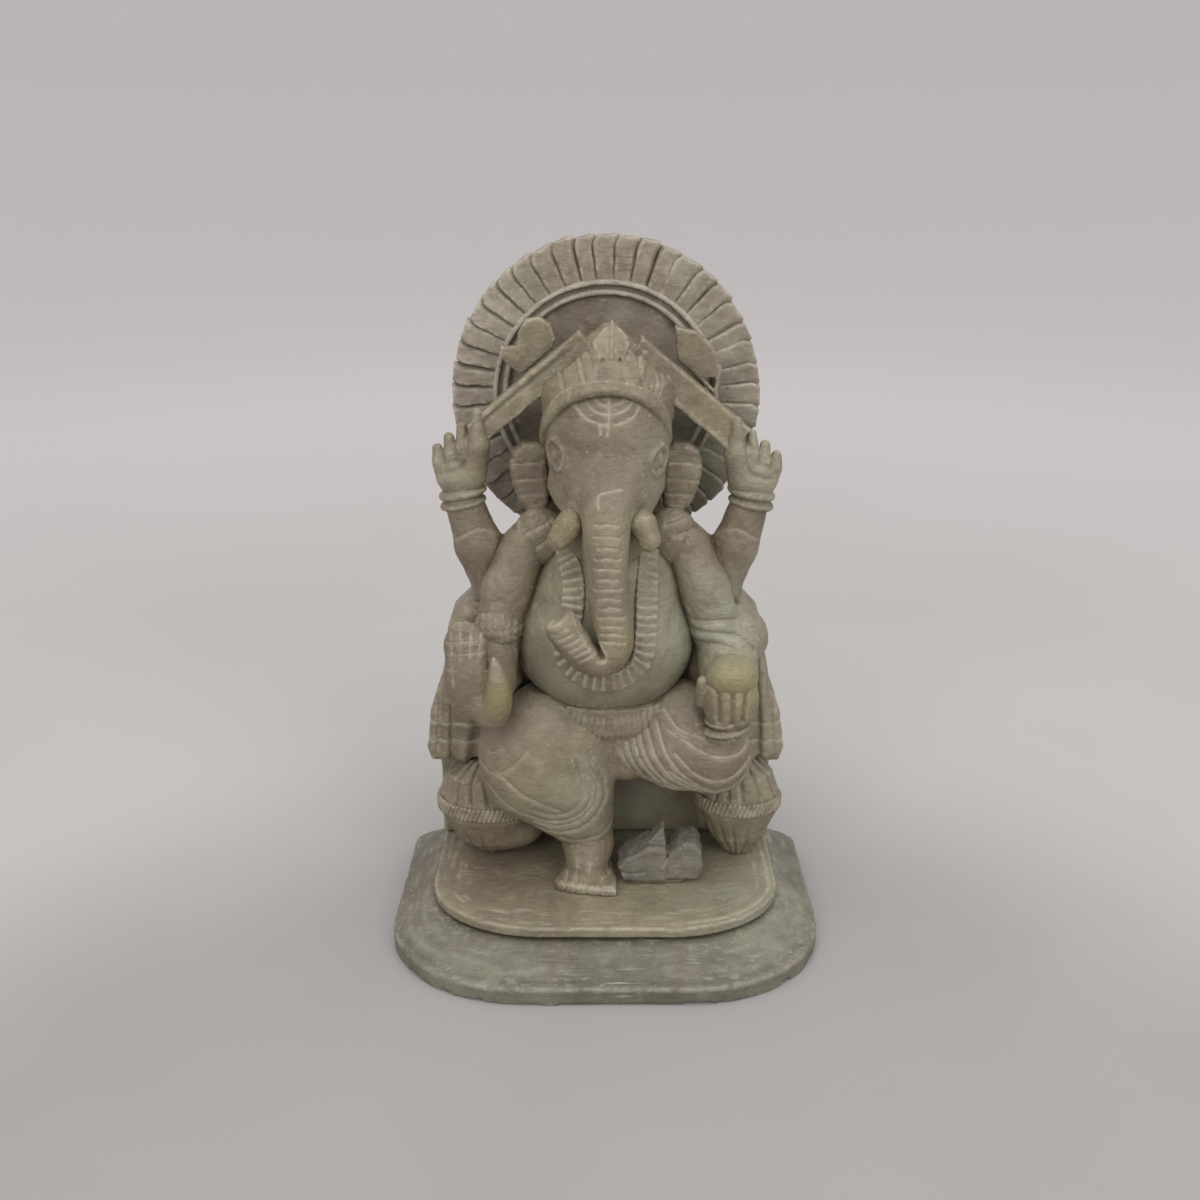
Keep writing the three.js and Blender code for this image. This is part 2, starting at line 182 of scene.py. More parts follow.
class Recipe:
    """A material built step by step."""

    def __init__(self, name):
        self.material = bpy.data.materials.new(name)
        self.material.use_nodes = True
        self.tree = self.material.node_tree
        self.tree.nodes.clear()
        self.shader = self.tree.nodes.new("ShaderNodeBsdfPrincipled")
        output = self.tree.nodes.new("ShaderNodeOutputMaterial")
        self.tree.links.new(self.shader.outputs[0], output.inputs["Surface"])
        self.place = self.node("ShaderNodeTexCoord", out="Object")

    def node(self, kind, settings=None, sockets=None, out=0):
        made = self.tree.nodes.new(kind)
        for key, setting in (settings or {}).items():
            setattr(made, key, setting)
        for key, value in (sockets or {}).items():
            self.plug(self.find(made.inputs, key), value)
        return Value(self, self.find(made.outputs, out))

    def find(self, sockets, key):
        if isinstance(key, int):
            return sockets[key]
        return next(s for s in sockets if key in (s.identifier, s.name) and s.enabled)

    def plug(self, socket, value):
        if isinstance(value, Value):
            self.tree.links.new(value.socket, socket)
        elif isinstance(value, tuple) and len(value) == 3 and socket.type == "RGBA":
            socket.default_value = (*value, 1)
        else:
            socket.default_value = value

    def set(self, key, value):
        self.plug(self.shader.inputs[key], value)

    def noise(self, scale, detail=3.0, rough=0.55, place=None, warp=0.0):
        sockets = {"Vector": place or self.place, "Scale": scale, "Detail": detail}
        sockets.update({"Roughness": rough, "Distortion": warp})
        return self.node("ShaderNodeTexNoise", {}, sockets, out="Fac")

    def stretched(self, scale, turn=(0, 0, 0)):
        """Object coordinates, pulled out along some directions and turned, for strokes and scratches."""
        return self.node(
            "ShaderNodeMapping",
            {"vector_type": "POINT"},
            {"Vector": self.place, "Rotation": tuple(math.radians(a) for a in turn), "Scale": scale},
        )

    def between(self, value, low, high):
        """0 where the value is under low, 1 where it is over high."""
        return self.node(
            "ShaderNodeMapRange",
            {"interpolation_type": "SMOOTHSTEP"},
            {"Value": value, "From Min": low, "From Max": high},
        )

    def mix(self, share, first, second):
        return self.node(
            "ShaderNodeMix",
            {"data_type": "RGBA"},
            {"Factor_Float": share, "A_Color": first, "B_Color": second},
            out="Result_Color",
        )

    def marked(self, name):
        """A number that the carving left on the mesh."""
        return self.node("ShaderNodeAttribute", {"attribute_name": name}, out="Fac")

    def bump(self, height, strength, distance):
        sockets = {"Height": height, "Strength": strength, "Distance": distance}
        return self.node("ShaderNodeBump", {}, sockets, out="Normal")


# %% [markdown]
# ## The stone
# Soapstone is never one colour. Clouds of brown lie in a grey-green ground, pale veins run through it,
# the cuts hold white dust and the worn edges are lighter, and painted shade darkens the hollows. The
# carving step leaves three numbers on each mesh, dust, edge and hollow, and this recipe turns them into
# colour. Four more numbers say where a larger cloud of one colour lies; some of these clouds are painted
# shade, and one is painted light. They are written by the cell "Clouds of colour".

# %% The soapstone recipe
# The umber colour is a brown in the stone and also painted shade; the verd colour is a green in the stone and
# also painted light.
EARTH, UMBER_AND_SHADE = (0.196, 0.146, 0.102), (0.170, 0.126, 0.092)
VERD_AND_LIGHT, HONEY = (0.290, 0.288, 0.208), (0.30, 0.25, 0.115)


def soapstone(name, colours, rough=0.5, scratches=0.35, stroke_scale=(1, 0.4, 9), stroke_turn=(20, 38, 0)):
    """Soapstone in four colours: the ground, its clouds, a dark one for its mottle and for painted shade, and
    its pale dust.
    """
    ground, cloud, dark, pale = colours
    stone = Recipe(name)
    place = stone.place
    clouds = stone.between(stone.noise(24, 4, 0.6, place, 0.8), 0.38, 0.62)
    mottle = stone.between(stone.noise(130, 5, 0.68, place, 0.4), 0.36, 0.66)
    colour = stone.mix(clouds, ground, cloud)
    colour = stone.mix(mottle * 0.42, colour, dark)
    earth = stone.between(stone.noise(15, 3, 0.5, place, 1.5), 0.46, 0.66)
    colour = stone.mix(earth * 0.5, colour, EARTH)
    bloom = stone.between(stone.noise(60, 5, 0.65, place, 1.0), 0.5, 0.7)
    colour = stone.mix(bloom * 0.16, colour, pale)
    veins = stone.node(
        "ShaderNodeTexNoise",
        {"noise_type": "RIDGED_MULTIFRACTAL", "normalize": True},
        {"Vector": place, "Scale": 26.0, "Detail": 3.0, "Distortion": 1.2},
        out="Fac",
    )
    colour = stone.mix(stone.between(veins, 0.8, 1.0) * 0.3, colour, pale)
    specks = stone.between(stone.noise(900, 2, 0.5, place), 0.64, 0.74)
    colour = stone.mix(specks * 0.3, colour, pale)
    ragged = stone.between(stone.noise(75, 4, 0.62, place, 1.0), 0.28, 0.58)
    # Umber clouds: brown patches in the stone, and painted shade where one lies under the raised hand.
    colour = stone.mix(stone.marked("umber") * ragged, colour, UMBER_AND_SHADE)
    # Verd clouds: green patches in the stone, and painted light on the lit side of the belly.
    colour = stone.mix(stone.marked("verd") * ragged, colour, VERD_AND_LIGHT)
    colour = stone.mix(stone.marked("honey") * 0.85, colour, HONEY)
    # Painted shade: darkens the halo's shaded recesses behind the head, the bars and the ears.
    colour = stone.mix(stone.marked("grime") * 0.8, colour, dark)
    # Painted shade: the hollows and the deep corners between parts are darkened.
    hollow = stone.between(stone.marked("hollow"), 0.05, 0.9)
    colour = stone.mix(hollow * 0.5, colour, dark)
    powder = stone.between(stone.noise(260, 5, 0.75, place, 0.8), 0.5, 0.68)
    not_deep = 1.0 - stone.between(stone.marked("hollow"), 0.3, 0.7)
    shallow = stone.between(stone.marked("hollow"), 0.02, 0.2) * not_deep
    colour = stone.mix(shallow * powder * 0.5, colour, pale)
    worn = stone.between(stone.noise(240, 4, 0.7, place), 0.36, 0.62)
    edge = stone.between(stone.marked("edge"), 0.15, 0.9) * worn
    colour = stone.mix(edge * 0.4, colour, pale)
    dust = stone.marked("dust") * stone.between(stone.noise(330, 3, 0.6, place), 0.25, 0.5)
    colour = stone.mix(dust * 0.85, colour, pale)
    strokes = stone.noise(170, 4, 0.7, stone.stretched(stroke_scale, stroke_turn))
    cross = stone.noise(80, 4, 0.7, stone.stretched((10, 0.5, 1), (-30, 24, 0)))
    fine = stone.between(strokes, 0.56, 0.66) + stone.between(cross, 0.66, 0.74) * 0.5
    patch = stone.between(stone.noise(45, 2, 0.5, place), 0.42, 0.62)
    colour = stone.mix(fine * patch * scratches, colour, pale)
    stone.set("Base Color", colour)
    stone.set("Roughness", mottle * 0.12 + dust * 0.2 + rough)
    grain = stone.noise(700, 5, 0.65, place) + fine * -0.3 + stone.noise(170, 3, 0.6, place) * 1.6
    stone.set("Normal", stone.bump(grain, 0.7, 0.0005))
    return stone.material


# %% The stones
CARVING = soapstone(
    "carving_stone",
    [(0.262, 0.228, 0.146), (0.214, 0.172, 0.114), (0.080, 0.060, 0.038), (0.53, 0.485, 0.375)],
    rough=0.44,
    scratches=0.26,
)
GREENISH = soapstone(
    "belly_stone",
    [(0.280, 0.256, 0.172), (0.238, 0.204, 0.136), (0.088, 0.070, 0.044), (0.49, 0.455, 0.36)],
    rough=0.40,
    scratches=0.26,
)
HALO_STONE = soapstone(
    "halo_stone",
    [(0.352, 0.312, 0.236), (0.286, 0.250, 0.190), (0.11, 0.09, 0.064), (0.56, 0.52, 0.43)],
    rough=0.56,
)
PALE_STONE = soapstone(
    "pale_stone",
    [(0.262, 0.228, 0.122), (0.222, 0.184, 0.108), (0.11, 0.085, 0.042), (0.52, 0.47, 0.34)],
    rough=0.4,
    scratches=0.5,
)
MOUSE_STONE = soapstone(
    "grey_stone",
    [(0.180, 0.166, 0.132), (0.152, 0.140, 0.114), (0.06, 0.053, 0.043), (0.33, 0.31, 0.26)],
    rough=0.62,
    scratches=0.6,
)
# The slabs were rubbed from side to side, so their strokes lie level.
LEVEL_TURN = (0, 0, 6)
PLINTH_STONE = soapstone(
    "plinth_stone",
    [(0.310, 0.276, 0.182), (0.246, 0.214, 0.146), (0.11, 0.09, 0.06), (0.48, 0.44, 0.33)],
    rough=0.42,
    scratches=0.7,
    stroke_scale=(0.6, 8, 8),
    stroke_turn=LEVEL_TURN,
)
BASE_STONE = soapstone(
    "base_stone",
    [(0.172, 0.168, 0.124), (0.142, 0.134, 0.098), (0.075, 0.068, 0.050), (0.40, 0.385, 0.31)],
    rough=0.42,
    scratches=0.9,
    stroke_scale=(0.5, 9, 9),
    stroke_turn=LEVEL_TURN,
)
print("stones:", [material.name for material in bpy.data.materials if material.name.endswith("stone")])

# %% [markdown]
# ## The adhesive and the floor
# Two thin beds of adhesive show under the plinth and the mouse. The floor is matt paper, whose colour
# depends on how far a place is from the front of the object: painted shade near it, painted light far off.

# %% The adhesive and the floor
def adhesive_recipe(first, second, scale):
    """Dried adhesive, blotched in two browns."""
    made = Recipe("adhesive")
    made.set("Base Color", made.mix(made.between(made.noise(scale, 4), 0.3, 0.7), first, second))
    made.set("Roughness", made.noise(scale * 2) * 0.2 + 0.45)
    made.set("Normal", made.bump(made.noise(scale * 9, 3), 0.2, 0.0003))
    return made.material


def floor_recipe(near, middle, far):
    """Matt paper, darker in front of the object with painted shade and paler with distance with painted
    light.
    """
    paper = Recipe("floor_paper")
    front = (0, -0.15, 0)
    away = paper.node(
        "ShaderNodeVectorMath", {"operation": "DISTANCE"}, {0: paper.place, 1: front}, out="Value"
    )
    # Painted shade near the front of the object, then painted light further away.
    colour = paper.mix(paper.between(away, 0.16, 0.30), near, middle)
    colour = paper.mix(paper.between(away, 0.30, 1.1), colour, far)
    cloud = paper.between(paper.noise(5, 3), 0.3, 0.7)
    paper.set("Base Color", paper.mix(cloud * 0.12, colour, far))
    paper.set("Roughness", cloud * 0.1 + 0.75)
    paper.set("Normal", paper.bump(paper.noise(400, 2), 0.1, 0.0002))
    return paper.material


ADHESIVE = adhesive_recipe((0.16, 0.13, 0.08), (0.22, 0.18, 0.12), 260)
PAPER = floor_recipe((0.330, 0.324, 0.312), (0.475, 0.460, 0.445), (0.66, 0.628, 0.628))
floor.data.materials.append(PAPER)
print("plain materials:", ADHESIVE.name, PAPER.name)

# %% [markdown]
# ## Distance shapes
# Each shape below is a function of x, y and z that gives the distance to its surface in millimetres,
# negative inside. Distances are easy to join, to cut and to blend softly, which polygons are not.

# %% Blending and round shapes
def length(*parts):
    return np.sqrt(sum(part * part for part in parts))


def soft_min(a, b, soft):
    """The nearer of two distances, blended where they differ by less than soft."""
    if soft <= 0:
        return np.minimum(a, b)
    share = np.clip(0.5 + 0.5 * (b - a) / soft, 0, 1)
    return b + (a - b) * share - soft * share * (1 - share)


def ball(centre, radii, lean=(0, 0, 0)):
    """An ellipsoid, turned by lean, in degrees about x, y and z."""
    turn = np.array(Euler([math.radians(a) for a in lean]).to_matrix(), np.float32)

    def distance(x, y, z):
        p = (x - centre[0], y - centre[1], z - centre[2])
        if any(lean):
            p = [turn[0, i] * p[0] + turn[1, i] * p[1] + turn[2, i] * p[2] for i in range(3)]
        near = length(*(p[i] / radii[i] for i in range(3)))
        steep = length(*(p[i] / radii[i] ** 2 for i in range(3))) + 1e-6
        return near * (near - 1) / steep

    return distance


def link(a, b, ra, rb, flat=1.0):
    """A tapered link with round ends. Below 1, flat thins it from front to back."""
    run = [b[i] - a[i] for i in range(3)]
    square = run[0] ** 2 + (run[1] / flat) ** 2 + run[2] ** 2

    def distance(x, y, z):
        p = (x - a[0], (y - a[1]) / flat, z - a[2])
        e = (run[0], run[1] / flat, run[2])
        along = np.clip((p[0] * e[0] + p[1] * e[1] + p[2] * e[2]) / square, 0, 1)
        gap = length(*(p[i] - e[i] * along for i in range(3)))
        return (gap - (ra + (rb - ra) * along)) * min(1.0, flat)

    return distance


def limb(points, radii, soft=1.0, flat=1.0):
    """A chain of links through the points, with one radius or one for each point."""
    if not hasattr(radii, "__len__"):
        radii = [radii] * len(points)
    links = [link(a, b, ra, rb, flat) for a, b, ra, rb in zip(points, points[1:], radii, radii[1:])]

    def distance(x, y, z):
        field = links[0](x, y, z)
        for other in links[1:]:
            field = soft_min(field, other(x, y, z), soft)
        return field

    return distance


def smooth_path(points, steps=5):
    """More points along a smooth curve through the given ones."""
    p = [np.array(q, float) for q in points]
    p = [2 * p[0] - p[1]] + p + [2 * p[-1] - p[-2]]
    path = []
    for i in range(1, len(p) - 2):
        for s in range(steps):
            t = s / steps
            a, b, c, d = p[i - 1 : i + 3]
            bend = (2 * a - 5 * b + 4 * c - d) * t**2 + (3 * b - a - 3 * c + d) * t**3
            path.append(0.5 * (2 * b + (c - a) * t + bend))
    return [tuple(q) for q in path + [p[-2]]]


print("a ball of radius 2, seen from 5 away:", float(ball((0, 0, 0), (2, 2, 2))(5.0, 0.0, 0.0)))


# %% Flat shapes
VERY_FAR = 1e9


def outline_distance(points, u, v):
    """Signed distance on a plane to a closed outline."""
    nearest = np.float32(VERY_FAR)
    inside = np.zeros(np.broadcast(u, v).shape, bool)
    for (au, av), (bu, bv) in zip(points, points[1:] + points[:1]):
        eu, ev = bu - au, bv - av
        wu, wv = u - au, v - av
        along = np.clip((wu * eu + wv * ev) / (eu * eu + ev * ev), 0, 1)
        nearest = np.minimum(nearest, (wu - eu * along) ** 2 + (wv - ev * along) ** 2)
        inside ^= ((av > v) != (bv > v)) & (wu < eu * wv / (ev or 1e-9))
    return np.where(inside, -1, 1) * np.sqrt(nearest)


def stroke_distance(lines, u, v):
    """Distance on a plane to the nearest of several open lines."""
    nearest = np.float32(VERY_FAR)
    for line in lines:
        for (au, av), (bu, bv) in zip(line, line[1:]):
            eu, ev = bu - au, bv - av
            along = np.clip(((u - au) * eu + (v - av) * ev) / (eu * eu + ev * ev), 0, 1)
            nearest = np.minimum(nearest, (u - au - eu * along) ** 2 + (v - av - ev * along) ** 2)
    return np.sqrt(nearest)


def extruded(flat, across, half, soft):
    """A flat outline's distance and the distance across it, joined with an edge rounded by soft."""
    a, b = flat + soft, np.abs(across) - half + soft
    return np.minimum(np.maximum(a, b), 0) + length(np.maximum(a, 0), np.maximum(b, 0)) - soft


def plate(points, front, back, soft=0.6):
    """A plate cut to an outline seen from the front."""

    def distance(x, y, z):
        return extruded(outline_distance(points, x, z), y - (front + back) / 2, (back - front) / 2, soft)

    return distance


def slab(points, bottom, top, soft=0.6):
    """A slab cut to a plan seen from above."""

    def distance(x, y, z):
        return extruded(outline_distance(points, x, y), z - (bottom + top) / 2, (top - bottom) / 2, soft)

    return distance


def turned(axis, profile, flat=1.0):
    """A turned shape about an upright axis, from (radius, height) pairs, thinned from front to back."""

    def distance(x, y, z):
        radius = length(x - axis[0], (y - axis[1]) / flat)
        closed = [(-r, h) for r, h in reversed(profile) if r > 0] + list(profile)
        return outline_distance(closed, radius, z) * flat

    return distance


print("a slab 2 thick, seen from 3 above:", slab([(-5, -5), (5, -5), (5, 5), (-5, 5)], -1, 1)(0.0, 0.0, 4.0))


# %% [markdown]
# ## The block of stone
# A Block is a grid of distances. It can be added to, cut, scored with a point, roughened, and in the
# end meshed by OpenVDB, which ships with Blender. The scored lines leave dust behind. Comparing each
# place with the average around it tells an edge, where most of the surroundings are air, from a hollow,
# where most of them are stone.

# %% Numbers on the grid
def box_blur(field, reach):
    """The mean over a cube of the given reach, one axis at a time."""
    for axis in range(3):
        margins = [(reach + 1, reach) if a == axis else (0, 0) for a in range(3)]
        padded = np.pad(field, margins, mode="edge")
        total = np.cumsum(padded, axis=axis, dtype=np.float32)
        count = field.shape[axis]
        upper = np.take(total, np.arange(2 * reach + 1, 2 * reach + 1 + count), axis=axis)
        lower = np.take(total, np.arange(0, count), axis=axis)
        field = (upper - lower) / (2 * reach + 1)
    return field


def sample(field, at):
    """Reads a grid between its points. at is in voxels, one row for each place."""
    at = np.clip(at, 0, np.array(field.shape) - 1.001)
    low = at.astype(int)
    part = at - low
    value = 0
    for corner in range(8):
        step = np.array([(corner >> axis) & 1 for axis in range(3)])
        weight = np.prod(np.where(step, part, 1 - part), axis=1)
        value = value + weight * field[tuple((low + step).T)]
    return value


LATTICE = 64  # the noise repeats after so many lumps


def drift(axes, size, seed):
    """Smooth noise between -1 and 1 whose lumps are about the given size."""
    lattice = np.random.default_rng(seed).uniform(-1, 1, (LATTICE,) * 3).astype(np.float32)
    weights = []
    for axis in axes:
        at = axis.ravel() / size + 1000
        low = np.floor(at).astype(int)
        part = at - low
        part = part * part * (3 - 2 * part)
        weight = np.zeros((len(at), LATTICE), np.float32)
        rows = np.arange(len(at))
        weight[rows, low % LATTICE] += 1 - part
        weight[rows, (low + 1) % LATTICE] += part
        weights.append(weight)
    lattice = np.tensordot(weights[0], lattice, (1, 0))
    lattice = np.tensordot(weights[1], lattice, (1, 1)).transpose(1, 0, 2)
    return np.tensordot(lattice, weights[2], (2, 1))


# %% The shared mass of stone
MASS_PITCH, MASS_MARGIN = 1.0, 4
mass_low = np.array(cad_box[0]) / MM - MASS_MARGIN
mass_size = np.ceil((np.array(cad_box[1]) / MM + MASS_MARGIN - mass_low) / MASS_PITCH).astype(int)
mass = np.full(mass_size, 4.0, np.float32)
blocks = []
print("shared mass:", mass.shape, "cells of", MASS_PITCH, "mm")


# %% The block
FAR = 9.0  # the distance that a block starts with, before anything is added


class Block:
    """One part of the carving, on its own grid of voxels.

    It covers the CAD nodes that it replaces, and a margin round them. A unit that is repeated has no
    nodes, and gives its own corners. A larger fine makes larger voxels, for parts with little detail.
    """

    def __init__(self, name, nodes, margin=3.0, fine=1.0, corners=None):
        if corners is None:
            boxes = np.array([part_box(node) for node in nodes]) / MM
            corners = boxes[:, 0].min(axis=0), boxes[:, 1].max(axis=0)
            blocks.append(self)
        low, high = np.array(corners[0]) - margin, np.array(corners[1]) + margin
        self.name, self.nodes, self.voxel, self.low = name, nodes, VOXEL * fine, low
        counts = np.ceil((high - low) / self.voxel).astype(int) + 1
        axes = [(low[i] + self.voxel * np.arange(counts[i])).astype(np.float32) for i in range(3)]
        self.x, self.y, self.z = np.ix_(*axes)
        self.field = np.full(counts, FAR, np.float32)
        self.dust = np.zeros(counts, np.float32)

    def at(self, shape):
        return shape(self.x, self.y, self.z)

    def add(self, shape, soft=0.0):
        """Joins a shape on, with a fillet about as wide as soft."""
        self.field = soft_min(self.field, self.at(shape), soft).astype(np.float32)
        return self

    def cut(self, shape, soft=0.0):
        """Takes a shape away."""
        self.field = -soft_min(-self.field, self.at(shape), soft).astype(np.float32)
        return self

    def keep(self, shape, soft=0.0):
        """Keeps only what lies inside a shape."""
        self.field = -soft_min(-self.field, -self.at(shape), soft).astype(np.float32)
        return self

    def press(self, near, width, depth, dust=0.0, where=1.0):
        """Sinks the surface by depth where near, a distance to some line, is small."""
        mark = np.exp(-((near / width) ** 2)) * where
        self.field = (self.field + depth * mark).astype(np.float32)
        if dust:
            self.dust = np.maximum(self.dust, (dust * mark).astype(np.float32))
        return self

    def score(self, lines, width=0.45, depth=0.45, dust=0.8, front_of=VERY_FAR, plane="xz"):
        """Scores lines with a point, straight into the face that looks along the missing axis.

        Only stone in front of the y given by front_of is touched.
        """
        u, v = {"xz": (self.x, self.z), "yz": (self.y, self.z), "xy": (self.x, self.y)}[plane]
        where = np.clip((front_of - self.y) / 2, 0, 1)
        return self.press(stroke_distance(lines, u, v), width, depth, dust, where)

    def lift(self, points, height, slope=0.8, front_of=VERY_FAR):
        """Raises the face by height inside an outline seen from the front."""
        inside = np.clip(0.5 - outline_distance(points, self.x, self.z) / slope, 0, 1)
        where = np.clip((front_of - self.y) / 2, 0, 1)
        self.field = (self.field - height * inside * where).astype(np.float32)
        return self

    def worn(self, depth=0.16, size=5.0, seed=1, fine=0.09):
        """Hand-rubbed unevenness, in large soft lumps and small ones."""
        axes = (self.x, self.y, self.z)
        lumps = depth * drift(axes, size, seed) + fine * drift(axes, size / 4, seed + 50)
        self.field = (self.field + lumps).astype(np.float32)
        return self

    def front(self, x, z):
        """The y of the face, for a place seen from the front."""
        column = self.field[
            int(round((x - self.low[0]) / self.voxel)), :, int(round((z - self.low[2]) / self.voxel))
        ]
        j = int(np.argmax(column < 0))
        share = column[j - 1] / (column[j - 1] - column[j])
        return self.low[1] + self.voxel * (j - 1 + share)

    def on_face(self, points, proud=0.0):
        """Places on the face, moved forwards by proud."""
        return [(x, self.front(x, z) - proud, z) for x, z in points]

    def join_mass(self):
        """Adds this part to the shared mass, which tells where two parts leave a deep corner."""
        first = np.maximum(np.ceil((self.low - mass_low) / MASS_PITCH).astype(int), 0)
        end = self.low + self.voxel * (np.array(self.field.shape) - 1)
        last = np.minimum(np.floor((end - mass_low) / MASS_PITCH).astype(int), mass_size - 1)
        picks = []
        for i in range(3):
            at = mass_low[i] + MASS_PITCH * np.arange(first[i], last[i] + 1)
            picks.append(np.round((at - self.low[i]) / self.voxel).astype(int))
        part = self.field[np.ix_(*picks)]
        window = tuple(slice(first[i], last[i] + 1) for i in range(3))
        mass[window] = np.minimum(mass[window], part)


def say_blocks(step):
    print(step, "- blocks so far:", len(blocks))


# %% [markdown]
# ## Crown and face
# The crown is a turned cap with leaves raised on its front. The head and the trunk are one smooth form
# on the real carving, so one block holds both: a few balls, a chain of tapering links for the trunk,
# and small ridges laid on the face for the eyes.

# %% Left and right
SIDES = (("left", 1), ("right", -1))  # the figure's own left lies towards +x


def mirrored(points):
    return [(-p[0], *p[1:]) for p in points]


def on_side(points, s):
    """An outline drawn for the left side, mirrored for the right one."""
    return points if s > 0 else mirrored(points)[::-1]


print("the right side of (1, 2):", on_side([(1, 2)], -1))


# %% Crown


CROWN_PROFILE = [
    (0, 149.5), (16.8, 149.5), (18.2, 154), (19.0, 159), (18.0, 163), (13.2, 168.2),
    (8.4, 172.0), (4.2, 175.6), (1.6, 177.6), (0, 178.0),
]
crown = Block("crown", ["crown"])
crown.add(turned((0.7, 12), CROWN_PROFILE, 0.93))
BROW = [
    (-15.4, 148), (-14.4, 153.4), (-9.6, 159.6), (0.2, 162.4), (9.9, 159.6), (14.8, 153.4), (15.8, 148),
]
crown.cut(plate(BROW, -20, -2.4, 1.0), 0.8)


def leaning_plate(points, foot, lean, front, swerve=0.0):
    """A leaf that leans back by lean for each millimetre above its foot, and turns aside by swerve."""
    upright = plate(points, front, front + 6, 0.5)
    shorten = 0.72  # leaning stretches the distances

    def distance(x, y, z):
        return upright(x, y - lean * (z - foot) - swerve * x, z) * shorten

    return distance


LEAF_FOOT, LEAF_LEAN = 170, 0.95
LEFT_LEAF = [(-6.2, 162.6), (-4.4, 163.6), (-0.9, 169.6), (-2.6, 174.2), (-8.4, 172.2)]
RIGHT_LEAF = [(7.4, 162.8), (5.8, 163.6), (3.6, 169.6), (5.4, 174.2), (11, 171.6), (9.4, 165.4)]
PEAK_LEAF = [(-1.2, 169.4), (3.9, 169.4), (6.5, 174.4), (1.6, 178.6), (-3.5, 174.4)]
crown.add(leaning_plate(LEFT_LEAF, LEAF_FOOT, LEAF_LEAN, 0.3, -0.55), 0.7)
crown.add(leaning_plate(RIGHT_LEAF, LEAF_FOOT, LEAF_LEAN, -0.6, 0.55), 0.7)
crown.add(leaning_plate(PEAK_LEAF, LEAF_FOOT, LEAF_LEAN, 1.2), 0.3)
crown.worn(0.2, 6, 3)
say_blocks("crown")

# %% Lines on the crown
CENTRE_LEAF = [(-0.9, 169.6), (3.6, 169.6), (6.2, 174.8), (1.6, 180), (-3.2, 174.8)]
LEAF_LINES = [
    [(-7.8, 172.6), (-5.2, 163.8)],
    [(-0.9, 169.6), (-5.2, 163.8)],
    [(-5.6, 174.2), (-3.4, 167.4)],
    [(3.6, 169.6), (7.0, 163.4)],
    [(7.0, 175), (8.8, 166.9), (11.2, 171.4)],
    [(8.8, 166.9), (9.4, 162.6)],
    [(12.4, 171), (14.6, 164)],
    [(-12.2, 168.6), (-11, 162)],
]
crown.lift([(-5.2, 163.6), (7, 163.4), (3.6, 169.6), (-0.9, 169.6)], 0.3, 1.0, 9)
crown.lift(LEFT_LEAF, 0.5, 1.0, 9)
crown.lift(RIGHT_LEAF, 0.45, 1.0, 9)
crown.lift(CENTRE_LEAF, 0.4, 1.0, 9)
crown.score([[(1.4, 170), (1.6, 179)]], 0.6, -0.4, 0.0, 9)
crown.score(LEAF_LINES, 0.42, 0.6, 0.25, 9)
crown.score([CENTRE_LEAF + CENTRE_LEAF[:1]], 0.35, 0.4, 0.2, 9)
SCRATCHES = [[(12.2, 160.2), (13.4, 163.6)], [(13.6, 159.8), (14.8, 163)], [(11, 161), (11.8, 163.2)]]
crown.score(SCRATCHES, 0.26, 0.2, 0.6, 9)

# %% Crown band
BAND_PATH = [(-16.8, 8, 147), (-15, 0.4, 154.4), (-9.4, -4.6, 160.8), (0.2, -6.6, 163.2)]
BAND_PATH += mirrored(BAND_PATH[:3])[::-1]
UPPER_BAND = [(x * 1.03, y + 0.4, z + 1.5) for x, y, z in BAND_PATH]
crown_band = Block("crown_band", ["crown_band"])
crown_band.add(limb(smooth_path(BAND_PATH, 8), 1.3, 0.9))
crown_band.add(limb(smooth_path(UPPER_BAND, 8), 0.8, 0.6), 0.4)
crown_band.worn(0.12, 5, 4)
say_blocks("crown band")

# %% Head and trunk
TRUNK_PATH = [
    (0.4, -2, 138), (0, -9.2, 127), (0.2, -12, 115.5), (1.2, -13.4, 104.5), (2.1, -14.3, 97.6),
    (0.9, -15, 94), (-2.2, -15.8, 92.8), (-5.8, -16.6, 94.8), (-9, -17.2, 99.2), (-11.8, -17.5, 103),
]
TRUNK_RADII = [7.8, 6.0, 5.4, 5.1, 4.9, 4.8, 4.7, 4.6, 4.5, 4.4]
TRUNK_STEPS = 3
trunk_line = smooth_path(TRUNK_PATH, TRUNK_STEPS)
along_trunk = np.linspace(0, len(TRUNK_PATH) - 1, len(trunk_line))
trunk_radii = np.interp(along_trunk, range(len(TRUNK_RADII)), TRUNK_RADII)
head = Block("head_and_trunk", ["head", "trunk"], margin=8, fine=0.9)
head.add(ball((0.4, 10, 146), (17.2, 17.2, 18)))
head.add(ball((0.4, 4.6, 151.5), (15.9, 13, 15.2)), 3)
head.add(ball((0.3, 7, 121), (12, 12, 13)), 2)
head.add(ball((0.3, 4, 136.5), (14.8, 13.6, 13)), 4)
head.add(limb(trunk_line, trunk_radii, 1.5), 3)
for s in (-1, 1):
    head.add(limb([(11 * s, 2, 136), (9.8 * s, -3.6, 128.4 - s)], (4.6, 1.5), 1), 2.5)
tip = ball((-14, -17.5, 108), (9, 9, 9))
head.cut(lambda x, y, z: np.maximum(tip(x, y, z), (x + 13.4) * 0.58 - (z - 104.6) * 0.81), 1.0)
head.worn(0.2, 7, 5)
say_blocks("head")

